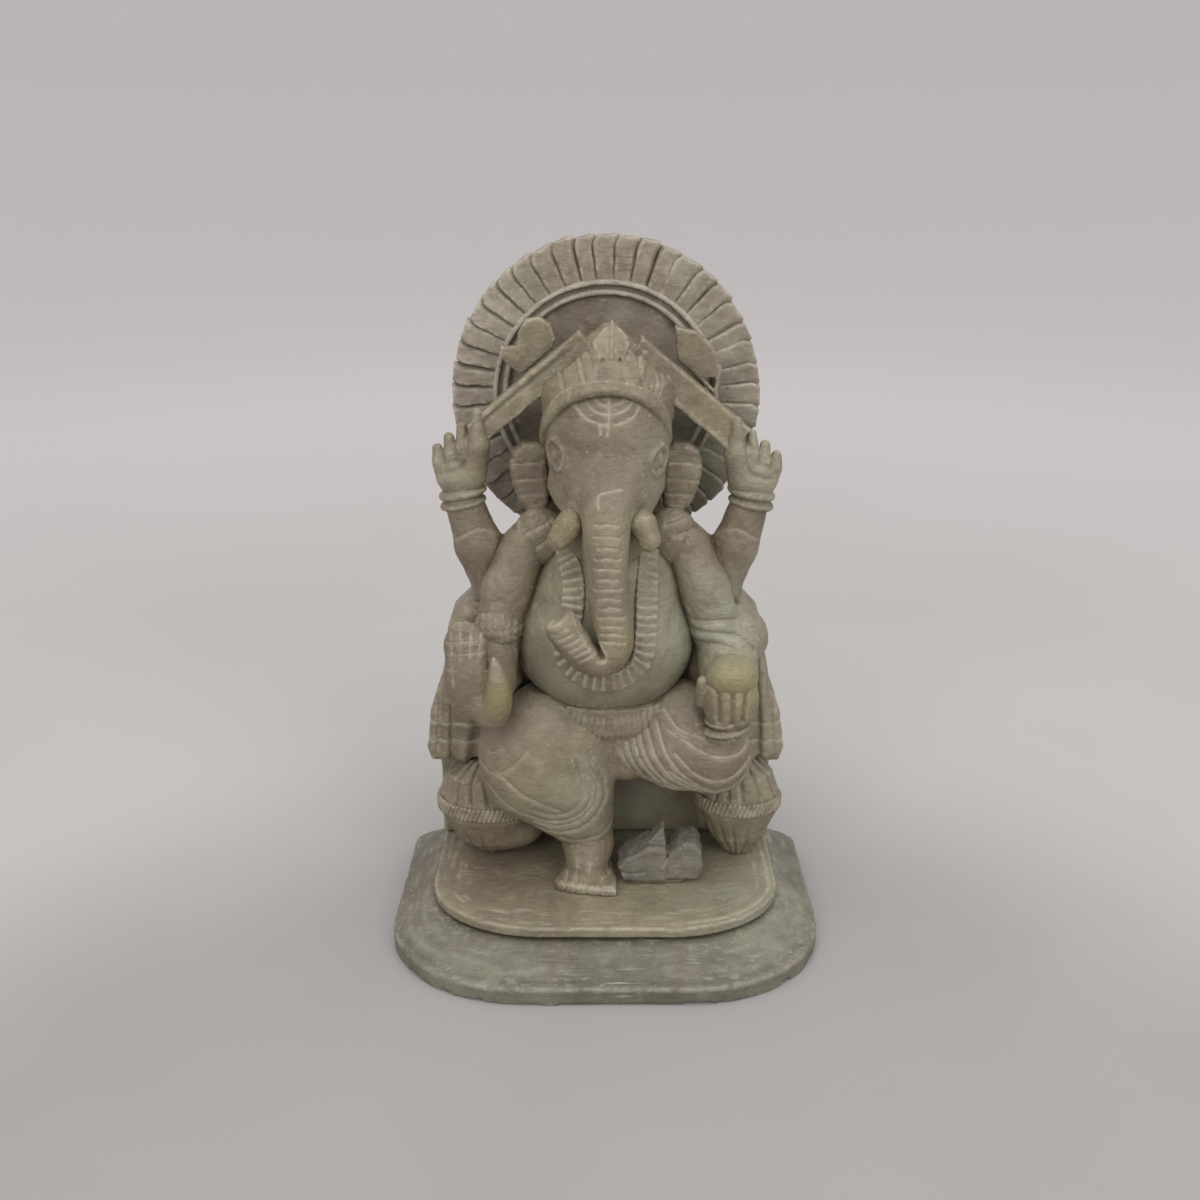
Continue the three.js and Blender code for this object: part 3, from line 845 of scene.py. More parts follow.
# %% Eyes
EYE = [
    (-13.9, 149.4), (-11.7, 147.6), (-11.0, 144.6), (-12.4, 141.2), (-14.6, 143.2), (-15.4, 146.6),
    (-13.9, 149.4),
]
EYEBALL = (-13.1, 145.2)
for s, drop in ((1, 0.0), (-1, -1.6)):
    shift = 0.4 * (1 - s)
    lids = head.on_face([(x * s + shift, z + drop) for x, z in EYE], -0.1)
    head.add(limb(smooth_path(lids, 3), 0.75, 0.3), 0.8)
    centre = head.on_face([(EYEBALL[0] * s + shift, EYEBALL[1] + drop)], -0.6)[0]
    head.add(ball(centre, (1.5, 1.4, 2.2)), 0.6)
print("eye at", [round(float(c), 1) for c in centre])

# %% Lines on the head and trunk
FOREHEAD_ARCS = [
    [(-8.4, 159.4), (-5.5, 156.2), (-1.4, 154.6), (3.3, 154.7), (7.2, 156.4), (8.6, 159.2)],
    [(-5.6, 160.6), (-3.2, 157.9), (0.6, 157), (4.6, 157.8), (6.8, 159.8)],
    [(-3.8, 161.4), (-1.6, 159.4), (0.8, 158.9), (3.6, 159.6), (5.2, 161)],
    [(0.7, 161.6), (0.7, 154.8)],
    [(-1.6, 154.2), (-1.4, 152.2)],
    [(0.6, 154.4), (0.3, 151.8)],
]
TRUNK_RINGS = [129.6, 126.6, 123.8, 121, 118.2, 115.6, 113, 110.4, 107.8, 105.4, 103, 100.8, 98.6]
TRUNK_HOOK = [(-1.9, 133.4), (-2.0, 136.2), (-0.1, 137.4), (3.8, 138)]
crevice = stroke_distance([[(-8.2, 109), (-5.2, 101.6), (-1.2, 94.6)]], head.x, head.z)
head.press(crevice, 0.75, 3.2, 0.0, np.clip((-9 - head.y) / 3, 0, 1))
head.score([smooth_path(arc, 3) for arc in FOREHEAD_ARCS], 0.34, 0.3, 0.8, 4)
head.score([smooth_path(TRUNK_HOOK, 3)], 0.3, 0.3, 0.7, 0)
for number, height in enumerate(TRUNK_RINGS):
    middle = float(np.interp(height, [96, 104, 116, 130], [2.0, 1.4, 0.4, 0.2]))
    half = 2.9 + 0.5 * math.sin(number * 2.3)
    ring = [(middle - half, height - 0.3), (middle, height + 0.1), (middle + half, height - 0.5)]
    head.score([ring], 0.28, 0.42, 0.65, 0)
CURL_LINES = 7
for step in range(CURL_LINES):
    t = step / (CURL_LINES - 1)
    x, z = -12.6 + 8.4 * t, 104.4 - 9 * t
    head.score([[(x - 2.6, z - 1.4), (x + 1.0, z + 0.5)]], 0.34, 0.36, 0.75, 0)
print("lines on the trunk:", len(TRUNK_RINGS) + CURL_LINES)

# %% Tusks and ears
TUSK_TIPS = {"left": 11.4, "right": 12.6}
LOBE = [
    (16, 127), (21, 124.6), (24.4, 128), (26.4, 134), (27.2, 139), (26, 143), (23, 145.2), (19, 145.4),
    (16, 143.6),
]
EAR_FRAME = [(-23, 120.4), (-15.4, 124.6), (-13.4, 121.2), (-20.6, 116.4), (-23, 120.4)]
for side, s in SIDES:
    tusk = Block(f"tusk_{side}", [f"tusk_{side}"])
    line = [(7.8 * s, -2.4, 131), (9.8 * s, -5.4, 127), (TUSK_TIPS[side] * s, -7, 123.4)]
    tusk.add(limb(line, (2.0, 3.6, 3.3), 1.5))
    tusk.keep(lambda x, y, z: (-9.2 - y) * 0.9 - (s * x - 9) * 0.42, 0.5)
    tusk.keep(lambda x, y, z: (z - 120) * -0.8 + (s * x - 14.2) * 0.6, 0.5)
    tusk.worn(0.25, 4, 7 + s)
    ear = Block(f"ear_{side}", [f"ear_{side}"])
    ear.add(plate(on_side(LOBE, s), 11.5, 18, 2))
    ear.add(ball((18.6 * s, 9.8, 119), (7.4, 5, 8.4)), 1.2)
    ear.worn(0.25, 4, 9 + s)
    for height in (130.6, 135, 139.6):
        ear.score([[(17 * s, height + 0.4), (29 * s, height - 0.6)]], 0.36, 0.34, 0.3, 16)
    if s > 0:
        ribs = [[(12 + 2.4 * i, 128.5 - 2.6 * i), (18.5 + 2.2 * i, 131 - 3 * i)] for i in range(5)]
        ear.score(ribs, 0.5, 0.7, 0.4, 10)
    else:
        ear.score([EAR_FRAME], 0.45, 0.5, 0.6, 10)
        ear.score([[(-24, 124), (-23.4, 114)], [(-22, 126.6), (-16.6, 129.4)]], 0.4, 0.4, 0.5, 12)
say_blocks("tusks and ears")

# %% [markdown]
# ## The raised hands, the axe and the goad
# The rear arms rise behind the front ones. Each hand is a palm with separate finger links, closed round
# a plain bar, and the blades are flat plates that stand off the bars.

# %% Axe and goad handles
BAR_HALF_WIDTH, BAR_FRONT = 3.3, 10


def bar_outline(low, high, half):
    """A bar's four corners, from its two ends and half its width."""
    run = Vector((high[0] - low[0], high[1] - low[1])).normalized()
    nx, nz = -run.y * half, run.x * half
    return [
        (low[0] - nx, low[1] - nz), (high[0] - nx, high[1] - nz),
        (high[0] + nx, high[1] + nz), (low[0] + nx, low[1] + nz),
    ]


def swing(x):
    """How far forwards a bar has come where it passes the crown."""
    return 6.5 * np.clip((30 - np.abs(x)) / 22, 0, 1) ** 1.3


def carve_bar(name, low, high, pits):
    outline = bar_outline(low, high, BAR_HALF_WIDTH)
    bar = Block(name, [name], margin=6)
    flat_bar = plate(outline, BAR_FRONT, BAR_FRONT + 8, 0.5)
    bar.add(lambda x, y, z: flat_bar(x, y + swing(x), z))
    top = [outline[3], outline[2]]
    rail = [(x, BAR_FRONT + 0.2 - swing(x), z - 0.9) for x, z in smooth_path(top, 6)]
    bar.add(limb(rail, 0.9, 0), 0.3)
    under = [(x, z - 3.1) for x, z in top]
    bar.score([under], 0.4, 0.45, 0.3, 13)
    bar.worn(0.16, 3, 21)
    if pits:
        pitted = np.clip(drift((bar.x, bar.y, bar.z), 1.1, 23) - 0.35, 0, 1)
        bar.field += (0.3 * pitted).astype(np.float32)


carve_bar("axe_handle", (-35, 148.5), (-5, 173.7), False)
carve_bar("goad_handle", (37.5, 146.5), (7.5, 172.2), True)
say_blocks("handles")

# %% Axe and goad blades
AXE_BLADE = [
    (-29.4, 167.8), (-27.4, 165.6), (-23.4, 162.8), (-15, 169.6), (-13.8, 172.4), (-15, 176.4),
    (-18.2, 178.4), (-22, 177.6), (-24.2, 174), (-24.4, 170.8), (-27, 170.4), (-29, 170.6),
]
GOAD_BLADE = [
    (30.4, 156.6), (31.8, 160), (32, 165), (29.6, 170.4), (25, 174.6), (19, 175.8), (19.8, 166.6),
    (25.6, 161.6),
]
BLADE_FRONT, BLADE_BACK = 19.5, 24
axe_blade = Block("axe_blade", ["axe_blade"])
axe_blade.add(plate(AXE_BLADE, BLADE_FRONT, BLADE_BACK, 0.8))
axe_blade.worn(0.16, 4, 31)
goad_blade = Block("goad_blade", ["goad_blade"])
goad_blade.add(plate(GOAD_BLADE, BLADE_FRONT, BLADE_BACK, 0.8))
goad_blade.cut(plate([(27.4, 161.6), (30.4, 162.2), (30.2, 158.8)], 17, 26, 0.2))
goad_blade.worn(0.16, 4, 33)
say_blocks("blades")

# %% Rear arms and hands
REAR_FINGERS = (
    # root, middle, tip
    ((39.2, 12.4, 137), (39.7, 12.2, 144), (39.5, 12.6, 149.6)),
    ((42.4, 13, 136.4), (43.2, 13, 142), (43.4, 13.4, 146.4)),
    ((45.2, 13.6, 134.6), (46.4, 13.8, 139.6), (46.8, 14.2, 143.2)),
)
REAR_FOREFINGER = ((37.2, 12.4, 136), (35.6, 11, 145), (35, 10.2, 153.6))
PALM_CREASE = [(37.9, 153), (38, 144), (39, 139.8), (42.4, 137.6), (46, 136.6)]
ELBOW_FOLD = [(30, 118.6), (36, 121.4), (42.5, 117.6)]
WRIST_HEIGHT = 132


def rear(p, s):
    """A place on a rear arm. The left one stands further out, and its fingers sit a little lower."""
    out, drop = (0.8, 2.0) if s > 0 else (0.0, 0.0)
    return (s * (p[0] + out), p[1], p[2] - drop * min(max((p[2] - WRIST_HEIGHT) / 6, 0), 1))


def rear_line(points, s):
    return [rear(p, s) for p in points]


def rear_curve(points, s):
    """A curve for scoring, from (x, z) pairs."""
    return [smooth_path([rear((x, 0, z), s)[::2] for x, z in points], 3)]


for side, s in SIDES:
    hand = Block(f"rear_hand_{side}", [f"rear_hand_{side}"], margin=4, fine=0.9)
    hand.add(ball(rear((40.6, 13.4, 135), s), (6.3, 4.8, 6)))
    hand.add(limb(rear_line(REAR_FOREFINGER, s), (4.0, 3.7, 1.5), 1), 1.5)
    for finger in REAR_FINGERS:
        hand.add(limb(rear_line(finger, s), (2.2, 2.0, 1.45), 0.5), 0.3)
    hand.worn(0.15, 4, 41 + s)
    hand.score(rear_curve(PALM_CREASE, s), 1.7, 0.8, 0.0, 13)
    hand.score(rear_curve(PALM_CREASE, s), 0.5, 0.5, 0.15, 13)
    bracelet = Block(f"rear_bracelet_{side}", [f"rear_bracelet_{side}"], margin=4)
    for height, radius, thick in ((130.8, 6.9, 2.3), (127.8, 6.6, 2.0)):
        bracelet.add(ball(rear((40.2, 14, height), s), (radius, 6.3, thick), (0, 11 * s, 0)), 0.6)
    bracelet.worn(0.15, 4, 43 + s)
    arm = Block(f"rear_arm_{side}", [f"rear_forearm_{side}", f"rear_upper_arm_{side}"])
    arm.add(limb(rear_line([(33, 15.5, 101), (36.4, 15, 115), (40, 14, 128)], s), (5.2, 6.4, 5.4), 2))
    arm.add(limb(rear_line([(21, 17.5, 114), (28, 17, 108), (33, 16, 101)], s), (8, 7.6, 5.4), 2), 2)
    arm.worn(0.25, 6, 45 + s)
    arm.score(rear_curve(ELBOW_FOLD, s), 0.4, 0.3, 0.5, 16)
say_blocks("rear arms")

# %% [markdown]
# ## The front arms
# The right hand is raised with its palm out, and the finger joints are only a grid of scored lines. The
# left hand holds a round sweet on its fingertips, and a shawl wraps its elbow in arcs.

# %% Blessing hand
THUMB = [(-31.2, -12.4, 74), (-29.6, -14.2, 80), (-29.3, -14.8, 85.4), (-30.4, -14.6, 92)]
FINGER_GRID = [
    [(-41.4, 84), (-41.6, 99)],
    [(-39.2, 92), (-39.0, 102.5)],
    [(-36.6, 92.6), (-36.2, 103)],
    [(-34.2, 93), (-33.8, 102)],
    [(-43, 96.4), (-32.4, 97.2)],
    [(-43.4, 93.4), (-33, 93.8)],
    [(-43.2, 88.6), (-40.4, 88.8)],
]
hand = Block("front_hand_right", ["front_hand_right"], fine=0.9)
hand.add(ball((-38.0, -12.2, 84.6), (6.4, 3.8, 10.4), (0, 3, 0)))
hand.add(ball((-38.0, -12.4, 94), (5.9, 3.0, 8.2), (0, -3, 0)), 2)
hand.add(ball((-34, -11.4, 76.6), (5.4, 4.4, 5)), 2)
hand.worn(0.2, 5, 51)
thumb_radii = np.interp(range(10), (0, 3, 6, 9), (4.0, 3.3, 2.5, 0.5))
hand.add(limb(smooth_path(THUMB, 3), thumb_radii, 2), 1.2)
hand.score(FINGER_GRID, 0.26, 0.32, 0.5, -6)
say_blocks("blessing hand")

# %% Right arm and armlet
arm = Block("front_arm_right", ["front_forearm_right", "front_upper_arm_right"])
arm.add(limb([(-22.8, 11, 116), (-27.8, 8.4, 104), (-30.6, 5, 92)], (6.6, 7.3, 6.4), 2))
arm.add(limb([(-31, 4, 91), (-32, -4, 80.5), (-33, -8.5, 78)], (7.2, 6.4, 5.4), 2), 2)
arm.worn(0.25, 6, 53)
armlet = Block("armlet_right", ["armlet_right"], margin=5)
armlet.add(ball((-30.4, 3.2, 93.6), (7.2, 7.6, 6.6), (22, 0, 0)))
armlet.worn(0.1, 4, 55)
weave = [[(-39.5, z), (-22, z + 1.2)] for z in (86.6, 88.6, 90.6, 92.6, 94.8, 97)]
weave += [[(x, 85), (x + 0.8, 100)] for x in np.arange(-38, -23, 1.9)]
armlet.score(weave, 0.4, 0.32, 0.05, 5)
say_blocks("right arm")

# %% Sweet and left hand
SWEET_SEAT = 82.3  # the fingers end here, under the sweet
FINGER_GAPS = [[(30.9, 82.6), (31.6, 72.4)], [(34.9, 82.6), (34.9, 71)], [(38.6, 82.6), (38, 72.4)]]
sweet = Block("sweet", ["sweet"])
sweet.add(ball((35.0, -7.4, 83.8), (7.5, 6.8, 6.0)))
sweet.worn(0.2, 5, 61)
hand = Block("front_hand_left", ["front_hand_left"], margin=4, fine=0.9)
hand.add(ball((34.9, -7.2, 77), (8.0, 6.8, 10.4)))
hand.keep(lambda x, y, z: z - SWEET_SEAT, 0.7)
hand.add(ball((34.6, -7.6, 72.6), (5.6, 5.4, 5)), 2)
hand.add(limb([(27.4, -6.4, 76), (26.9, -8.4, 82.4)], (2.6, 1.7)), 0.5)
hand.worn(0.18, 4, 63)
hand.score(FINGER_GAPS, 0.75, 1.0, 0.0, -6)
hand.score([[(28, 81.6), (35, 81.9), (43, 81.4)]], 0.3, 0.2, 0.85, -6)
bracelet = Block("front_bracelet_left", ["front_bracelet_left"])
for height, radius in ((70.6, 6.4), (67.6, 7.0)):
    bracelet.add(ball((34.2, -6.8, height), (radius, 6.4, 2.0), (0, -8, 0)), 0.25)
bracelet.worn(0.15, 4, 65)
bracelet.score([[(x, 65), (x, 73)] for x in np.arange(28.6, 41, 1.5)], 0.3, 0.2, 0.4, -8)
say_blocks("left hand")

# %% Left arm in its shawl
arm = Block("front_arm_left", ["front_forearm_left", "front_upper_arm_left"], margin=7)
arm.add(limb([(23.4, 11, 115.4), (27.8, 8.6, 104), (31, 7.4, 94)], (6.6, 7.2, 7.6), 2))
arm.add(limb([(35, 9, 88.5), (35, 2, 82), (34.4, -2, 75)], (9.4, 8.2, 6.6), 2), 2)
arm.add(ball((38.2, 12, 88), (9.4, 8.4, 9.2)), 3)
arm.worn(0.25, 6, 67)
SHAWL_FOLDS = [
    [(24.5, 93.4), (31, 93.6), (37.5, 92), (42, 87.6)],
    [(25.5, 96.6), (33, 97), (40, 94.6), (45, 88)],
    [(26, 89.4), (31, 90.4), (36, 89.4)],
]
shawl_curves = [smooth_path(line, 3) for line in SHAWL_FOLDS]
arm.score(shawl_curves, 0.9, 0.5, 0.0, 6)
arm.score(shawl_curves, 0.36, 0.4, 0.6, 6)
say_blocks("left arm")

# %% [markdown]
# ## The body
# The belly is a smooth egg. It runs up to the tusks behind the garland, and a hatched waistband holds
# it below.

# %% Belly and shoulders
belly = Block("belly", ["belly"], margin=11, fine=1.35)
belly.add(ball((-0.3, 11.2, 88), (25.8, 23.4, 21.8)))
belly.add(ball((0.6, 11.4, 106), (19, 17.6, 16)), 9)
for s in (-1, 1):
    belly.add(ball((27 * s, 19, 80), (9.6, 8, 14)), 2)
belly.worn(0.25, 12, 71, 0.03)
shoulders = Block("shoulders", ["shoulders"])
shoulders.add(ball((0.3, 18.5, 113), (26.6, 9.4, 12.4)))
shoulders.worn(0.25, 8, 73)
say_blocks("belly and shoulders")

# %% Waistband
WAIST_PROFILE = [(0, 60.5), (17, 60.5), (20.6, 64.5), (21.6, 68.6), (21.4, 72.6), (0, 76.5)]
waist = Block("waistband", ["waistband"])
waist.add(turned((1, 11.4), WAIST_PROFILE, 0.86))
waist.worn(0.2, 5, 75)
hatch = []
for x in np.arange(-13, 15.5, 1.7):
    hatch.append([(x, 62.2 + 0.5 * math.sin(x)), (x * 0.94 + 0.6, 70.4 + 0.012 * x * x)])
waist.score(hatch, 0.38, 0.5, 0.45, 8)
print("hatch lines:", len(hatch))

# %% [markdown]
# ## The legs
# One knee hangs and the other is folded, both under cloth. Its folds are long curves, so each one is a
# wide soft hollow with a thin sharp line in it.

# %% Hanging leg
def fold(block, lines, width, depth, front_of, dust):
    """Scores each line twice: a wide soft hollow, and a thin sharp line in it."""
    curves = [smooth_path(line, 4) for line in lines]
    block.score(curves, width, depth, 0.0, front_of)
    block.score(curves, 0.38, 0.42, dust, front_of)


leg = Block("right_leg", ["thigh_right", "shin", "centre_pleats"], margin=4, fine=1.1)
leg.add(limb([(-9, 9, 63.4), (-17, 4.4, 62.4), (-24.8, 0.6, 58)], (11.8, 13, 12.6), 3))
leg.add(limb([(-22, 0, 53), (-8, 2, 41)], (12.6, 8.8)), 3)
leg.add(ball((-22.8, -0.6, 51.4), (13, 11.6, 12.8)), 3)
leg.add(limb([(-24, 1, 46.5), (-11, 2.6, 34)], (11, 8)), 3)
leg.add(limb([(-8.6, 2, 58), (-8.2, 2, 47), (-5.6, 3, 34), (-5.2, 3.6, 28.6)], (11.4, 10.2, 7.4, 6.9), 3), 4)
leg.add(limb([(3, 3.6, 66), (6.4, 2.6, 53)], (8, 6.4), 2), 2.5)
leg.worn(0.25, 7, 81)
say_blocks("hanging leg")

# %% Folds round the knee
RIGHT_FOLDS = [
    [(-37.4, 61.8), (-33.6, 60.4), (-28.6, 62.4)],
    [(-36.4, 56), (-31.8, 54.6), (-26.4, 57.6), (-22, 62)],
]
for i, radius in enumerate((8.0, 10.6, 12.2, 14.9)):
    angles = [math.radians(a) for a in range(-140 + 9 * i, 1, 20)]
    arc = [(-14.6 + radius * math.cos(a), 48.4 + 1.05 * radius * math.sin(a)) for a in angles]
    RIGHT_FOLDS.append(arc + [(-15.4 + radius * 0.94, 54), (-16.4 + radius * 0.8, 60.4)])
RIGHT_FOLDS += [[(-34, 50), (-26, 42.6), (-16, 36)], [(-31, 56), (-22, 48), (-13, 41.4)]]
fold(leg, RIGHT_FOLDS, 0.9, 0.2, 4, 0.4)
leg.score([[(-13, 30.4), (-8, 29.2), (-2, 30.6), (2, 33)]], 0.6, 0.6, 0.3, 4)
print("folds:", len(RIGHT_FOLDS))

# %% Folded leg
leg = Block("folded_leg", ["folded_leg"], margin=9, fine=1.05)
leg.add(limb([(9, 4, 58), (20, 1, 57), (31, -1, 56.6)], (9.8, 11.2, 11.9), 3))
leg.add(ball((21, 6.4, 63.6), (14, 12, 12.6)), 4)
leg.worn(0.25, 7, 83)
INNER_FOLD = np.array([(1.6, 66), (2.8, 57), (6.4, 50.6), (11.6, 47.4)])
OUTER_FOLD = np.array([(14.6, 68), (17.4, 60.4), (23.4, 53.4), (33, 47.4)])
LEFT_FOLDS = []
for t in (0, 0.16, 0.3, 0.46, 0.6, 0.78, 1):
    LEFT_FOLDS.append([tuple(p) for p in INNER_FOLD + (OUTER_FOLD - INNER_FOLD) * t])
LEFT_FOLDS += [
    [(19.6, 61), (26, 55), (34, 53.4), (41.4, 58)],
    [(18, 55.6), (26, 50.4), (35, 49), (42, 54)],
    [(18, 66.4), (28, 61.4), (37, 60.6), (41.6, 62.6)],
    [(17, 71), (21, 66.6), (28, 64.6)],
]
fold(leg, LEFT_FOLDS, 0.7, 0.2, 4, 0.75)
say_blocks("folded leg")

# %% Foot
SOLE = [
    (-15.4, -6), (-14, -8.4), (-8.4, -10.2), (-2, -11.2), (3.2, -11.4), (3.4, -7), (2.2, 4), (0, 10),
    (-10, 10), (-12.4, 2),
]
FOOT_BOTTOM = 14.75
TOE_GAPS = [(-12.2, -9.4), (-9.0, -10.4), (-5.6, -11), (-1.8, -11.6)]
foot = Block("foot", ["foot"], margin=4, fine=0.85)
foot.add(limb([(-5.2, 4.4, 31), (-5.2, 3.2, 24), (-5.8, -0.6, 20)], (7.2, 7.4, 6.2), 2))
foot.add(slab(SOLE, 12, 17.4, 1.3), 3.5)
foot.worn(0.16, 4, 85)
foot.score([[(x, reach), (x + 0.9, reach + 5)] for x, reach in TOE_GAPS], 0.42, 0.6, 0.7, plane="xy")
foot.score([[(-15, 17.6), (-8, 16.9), (0, 16.6), (3.4, 16.8)]], 0.35, 0.3, 0.8, -7)
foot.keep(lambda x, y, z: FOOT_BOTTOM - z)
say_blocks("foot")

# %% [markdown]
# ## The mouse
# The mouse is a separate lump of greyer stone, cut with a few strokes: a rump, a lowered head, one ear
# and a scored mouth.

# %% Mouse
RUMP = [(14, 15.8), (27.6, 15.8), (29, 18), (28.8, 25.4), (26.8, 28.4), (22.6, 28.2), (18.6, 24.6)]
MUZZLE = [(3.7, 20.4), (5.2, 15.8), (18, 15.8), (18.8, 24.6), (17.8, 27), (13, 27.6), (6, 23.2)]
MOUSE_EAR = [(11.4, 26), (18.2, 24.6), (17.5, 33), (16.6, 32.4)]
MOUSE_LINES = [[(3.4, 19), (7, 18.4), (11.4, 19)], [(18.4, 24), (17, 21)], [(22, 28), (24, 24)]]
MOUSE_BOTTOM = 15.95
mouse = Block("mouse", ["mouse"], fine=0.9)
mouse.add(plate(RUMP, -5, 6.8, 1.6))
mouse.add(plate(MUZZLE, -5.6, 5.6, 1.1), 0.5)
mouse.add(plate(MOUSE_EAR, -2.8, 2.4, 0.3), 0.3)
mouse.cut(link((18.6, -8, 23.8), (19.4, 9, 30.6), 0.3, 1.2), 0.2)
mouse.worn(0.35, 3, 91, 0.16)
mouse.score(MOUSE_LINES, 0.4, 0.5, 0.5, 0)
mouse.keep(lambda x, y, z: MOUSE_BOTTOM - z)
say_blocks("mouse")

# %% [markdown]
# ## The halo's disc
# Behind the crown is a turned dish with two raised rings and a groove between them.

# %% Disc
HALO_HEIGHT = 155.5
DISC_PROFILE = [
    (0, 31.4), (27.5, 30.9), (28, 28.5), (29.3, 28.3), (29.7, 29.5), (30.5, 29.3), (30.8, 27.5), (32.1, 27.5),
    (32.4, 29.5), (32.4, 36), (0, 36),
]
disc = Block("halo_disc", ["halo_dish", "halo_rim"], margin=2.5, fine=1.3)
disc.add(lambda x, y, z: outline_distance(DISC_PROFILE, length(x, z - HALO_HEIGHT), y))
disc.worn(0.14, 4, 95)
from_centre = length(disc.x, disc.z - HALO_HEIGHT)
# A depth of 0 lays dust on a ring and cuts nothing.
disc.press(np.abs(from_centre - 31.5), 0.5, 0.0, 0.7)
disc.press(np.abs(from_centre - 28.7), 0.4, 0.0, 0.8)
say_blocks("halo disc")

# %% [markdown]
# ## The throne
# A thick slab stands behind the figure, cloth hangs over its arms in pleats with a double hem line, and
# two gathered cushions sit under the cloth.

# %% Throne back
THRONE_SIDE = [(52, 14.7), (52, 62), (47.4, 85), (40, 94), (25, 98), (21, 113), (12, 121)]
throne = Block("throne_back", ["throne_back"], fine=2.2)
throne.add(plate(THRONE_SIDE + on_side(THRONE_SIDE, -1), 25, 40, 1.4))
throne.worn(0.3, 9, 101, 0.06)
throne.score([[(31.2, 15), (30.8, 44)], [(28.6, 30.6), (31, 21), (39, 16)]], 0.5, 0.3, 0.9, 28)
say_blocks("throne back")

# %% Cloth over the arms
DRAPE = [
    (24, 97.6), (33, 99.4), (40.6, 97.4), (45.6, 92), (47.6, 82), (49.4, 72), (51.8, 64), (53.2, 52),
    (52, 48.4), (46, 47.8), (34.6, 48), (31, 60), (24, 74),
]
LONG_FOLDS = [[(46.8, 86), (48.8, 70), (50.6, 49)], [(43.4, 84), (45.4, 66), (46.4, 49)]]
HEMS = ((60.4, 0.8), (54.6, 0.9))  # height, dust
for side, s in SIDES:
    drape = Block(f"drape_{side}", [f"drape_{side}"], fine=1.2)
    drape.add(plate(on_side(DRAPE, s), 9.4, 33, 3))
    drape.worn(0.25, 7, 111 + s)
    across = s * drape.x
    fall = np.clip((84 - drape.z) / 36, 0, 1)
    wave = np.cos(2 * np.pi * (across - 40 + 0.16 * (drape.z - 46)) / 6.6)
    side_wave = np.cos(2 * np.pi * (drape.y - 9) / 6.0)
    turn = np.clip((across - 47) / 3, 0, 1)
    drape.field += (0.7 * fall * (wave * (1 - turn) + side_wave * turn)).astype(np.float32)
    curves = [smooth_path([(s * u, v) for u, v in line], 4) for line in LONG_FOLDS]
    drape.score(curves, 0.9, 0.6, 0.0, 30)
    drape.score(curves, 0.35, 0.3, 0.5, 30)
    for height, dust in HEMS:
        drape.score([[(30 * s, height), (56 * s, height + 0.6)]], 0.4, 0.35, dust)
say_blocks("cloth")

# %% Cushions
CUSHIONS = {"left": (41, 12.4), "right": (-35.5, 15.4)}  # x of the axis, radius
CUSHION_Y, CUSHION_FLAT = 14.5, 0.92
for side, (x, radius) in CUSHIONS.items():
    lower = [(0, 15), (4, 15.6), (radius * 0.72, 22), (radius, 31)]
    higher = [(radius, 37), (radius * 0.82, 43.6), (radius * 0.4, 47.6), (0, 48)]
    cushion = Block(f"cushion_{side}", [f"cushion_{side}"])
    cushion.add(turned((x, CUSHION_Y), lower + higher, CUSHION_FLAT))
    cushion.worn(0.25, 5, 121)
    angle = np.arctan2(cushion.y - CUSHION_Y, cushion.x - x)
    pleat = np.abs(np.sin(angle * 7 + 0.1 * (cushion.z - 30) + 0.5 * np.sin(angle * 3)))
    upper = np.clip((cushion.z - 33) / 5, 0, 1) + 0.75 * np.clip((31 - cushion.z) / 6, 0, 1)
    cushion.field += (1.0 * upper * (1 - pleat) ** 2).astype(np.float32)
    if side == "right":
        cushion.add(ball((-30.5, 15.5, 25), (12.4, 11, 8.6)), 2)
say_blocks("cushions")

# %% [markdown]
# ## The slabs
# The base is a D-shaped slab with a long bevel, and the plinth sits on it, on a bed of adhesive.

# %% Slab plans
def plan(half, back, front, corner_x, corner_y, back_corner):
    """A D-shaped plan: a straight back and sweeping elliptical front corners."""
    front_steps, back_steps = 14, 4
    right = []
    for step in range(front_steps + 1):
        angle = -math.pi / 2 * (1 - step / front_steps)
        across = half - corner_x + corner_x * math.cos(angle)
        right.append((across, front + corner_y + corner_y * math.sin(angle)))
    for step in range(back_steps + 1):
        angle = math.pi / 2 * step / back_steps
        across = half - back_corner * (1 - math.cos(angle))
        right.append((across, back - back_corner * (1 - math.sin(angle))))
    return right + mirrored(right)[::-1]


base_low = plan(63, 42, -42, 40, 34, 7)
base_high = plan(53, 40.6, -29, 35, 27.5, 6)
plinth_plan = plan(51.5, 40, -27, 34, 25, 2)
print("points in a plan:", len(base_low))

# %% Base
BASE_TOP, BASE_EDGE = 10, 5
BEVEL_STEEPNESS = 0.6  # the long bevel stretches the distances above the edge
base = Block("base_slab", ["base_slab"], margin=1.5, fine=1.8)
sides = outline_distance(base_low, base.x, base.y)
slope = outline_distance(base_high, base.x, base.y)
rise = np.clip((base.z - BASE_EDGE) / (BASE_TOP - BASE_EDGE), 0, 1)
wall = sides * (1 - rise) + slope * rise
wall = np.where(base.z > BASE_EDGE, wall * BEVEL_STEEPNESS, wall)
base.field = np.maximum(np.maximum(wall, base.z - BASE_TOP), -base.z).astype(np.float32)
base.worn(0.14, 9, 131, 0.05)
say_blocks("base")

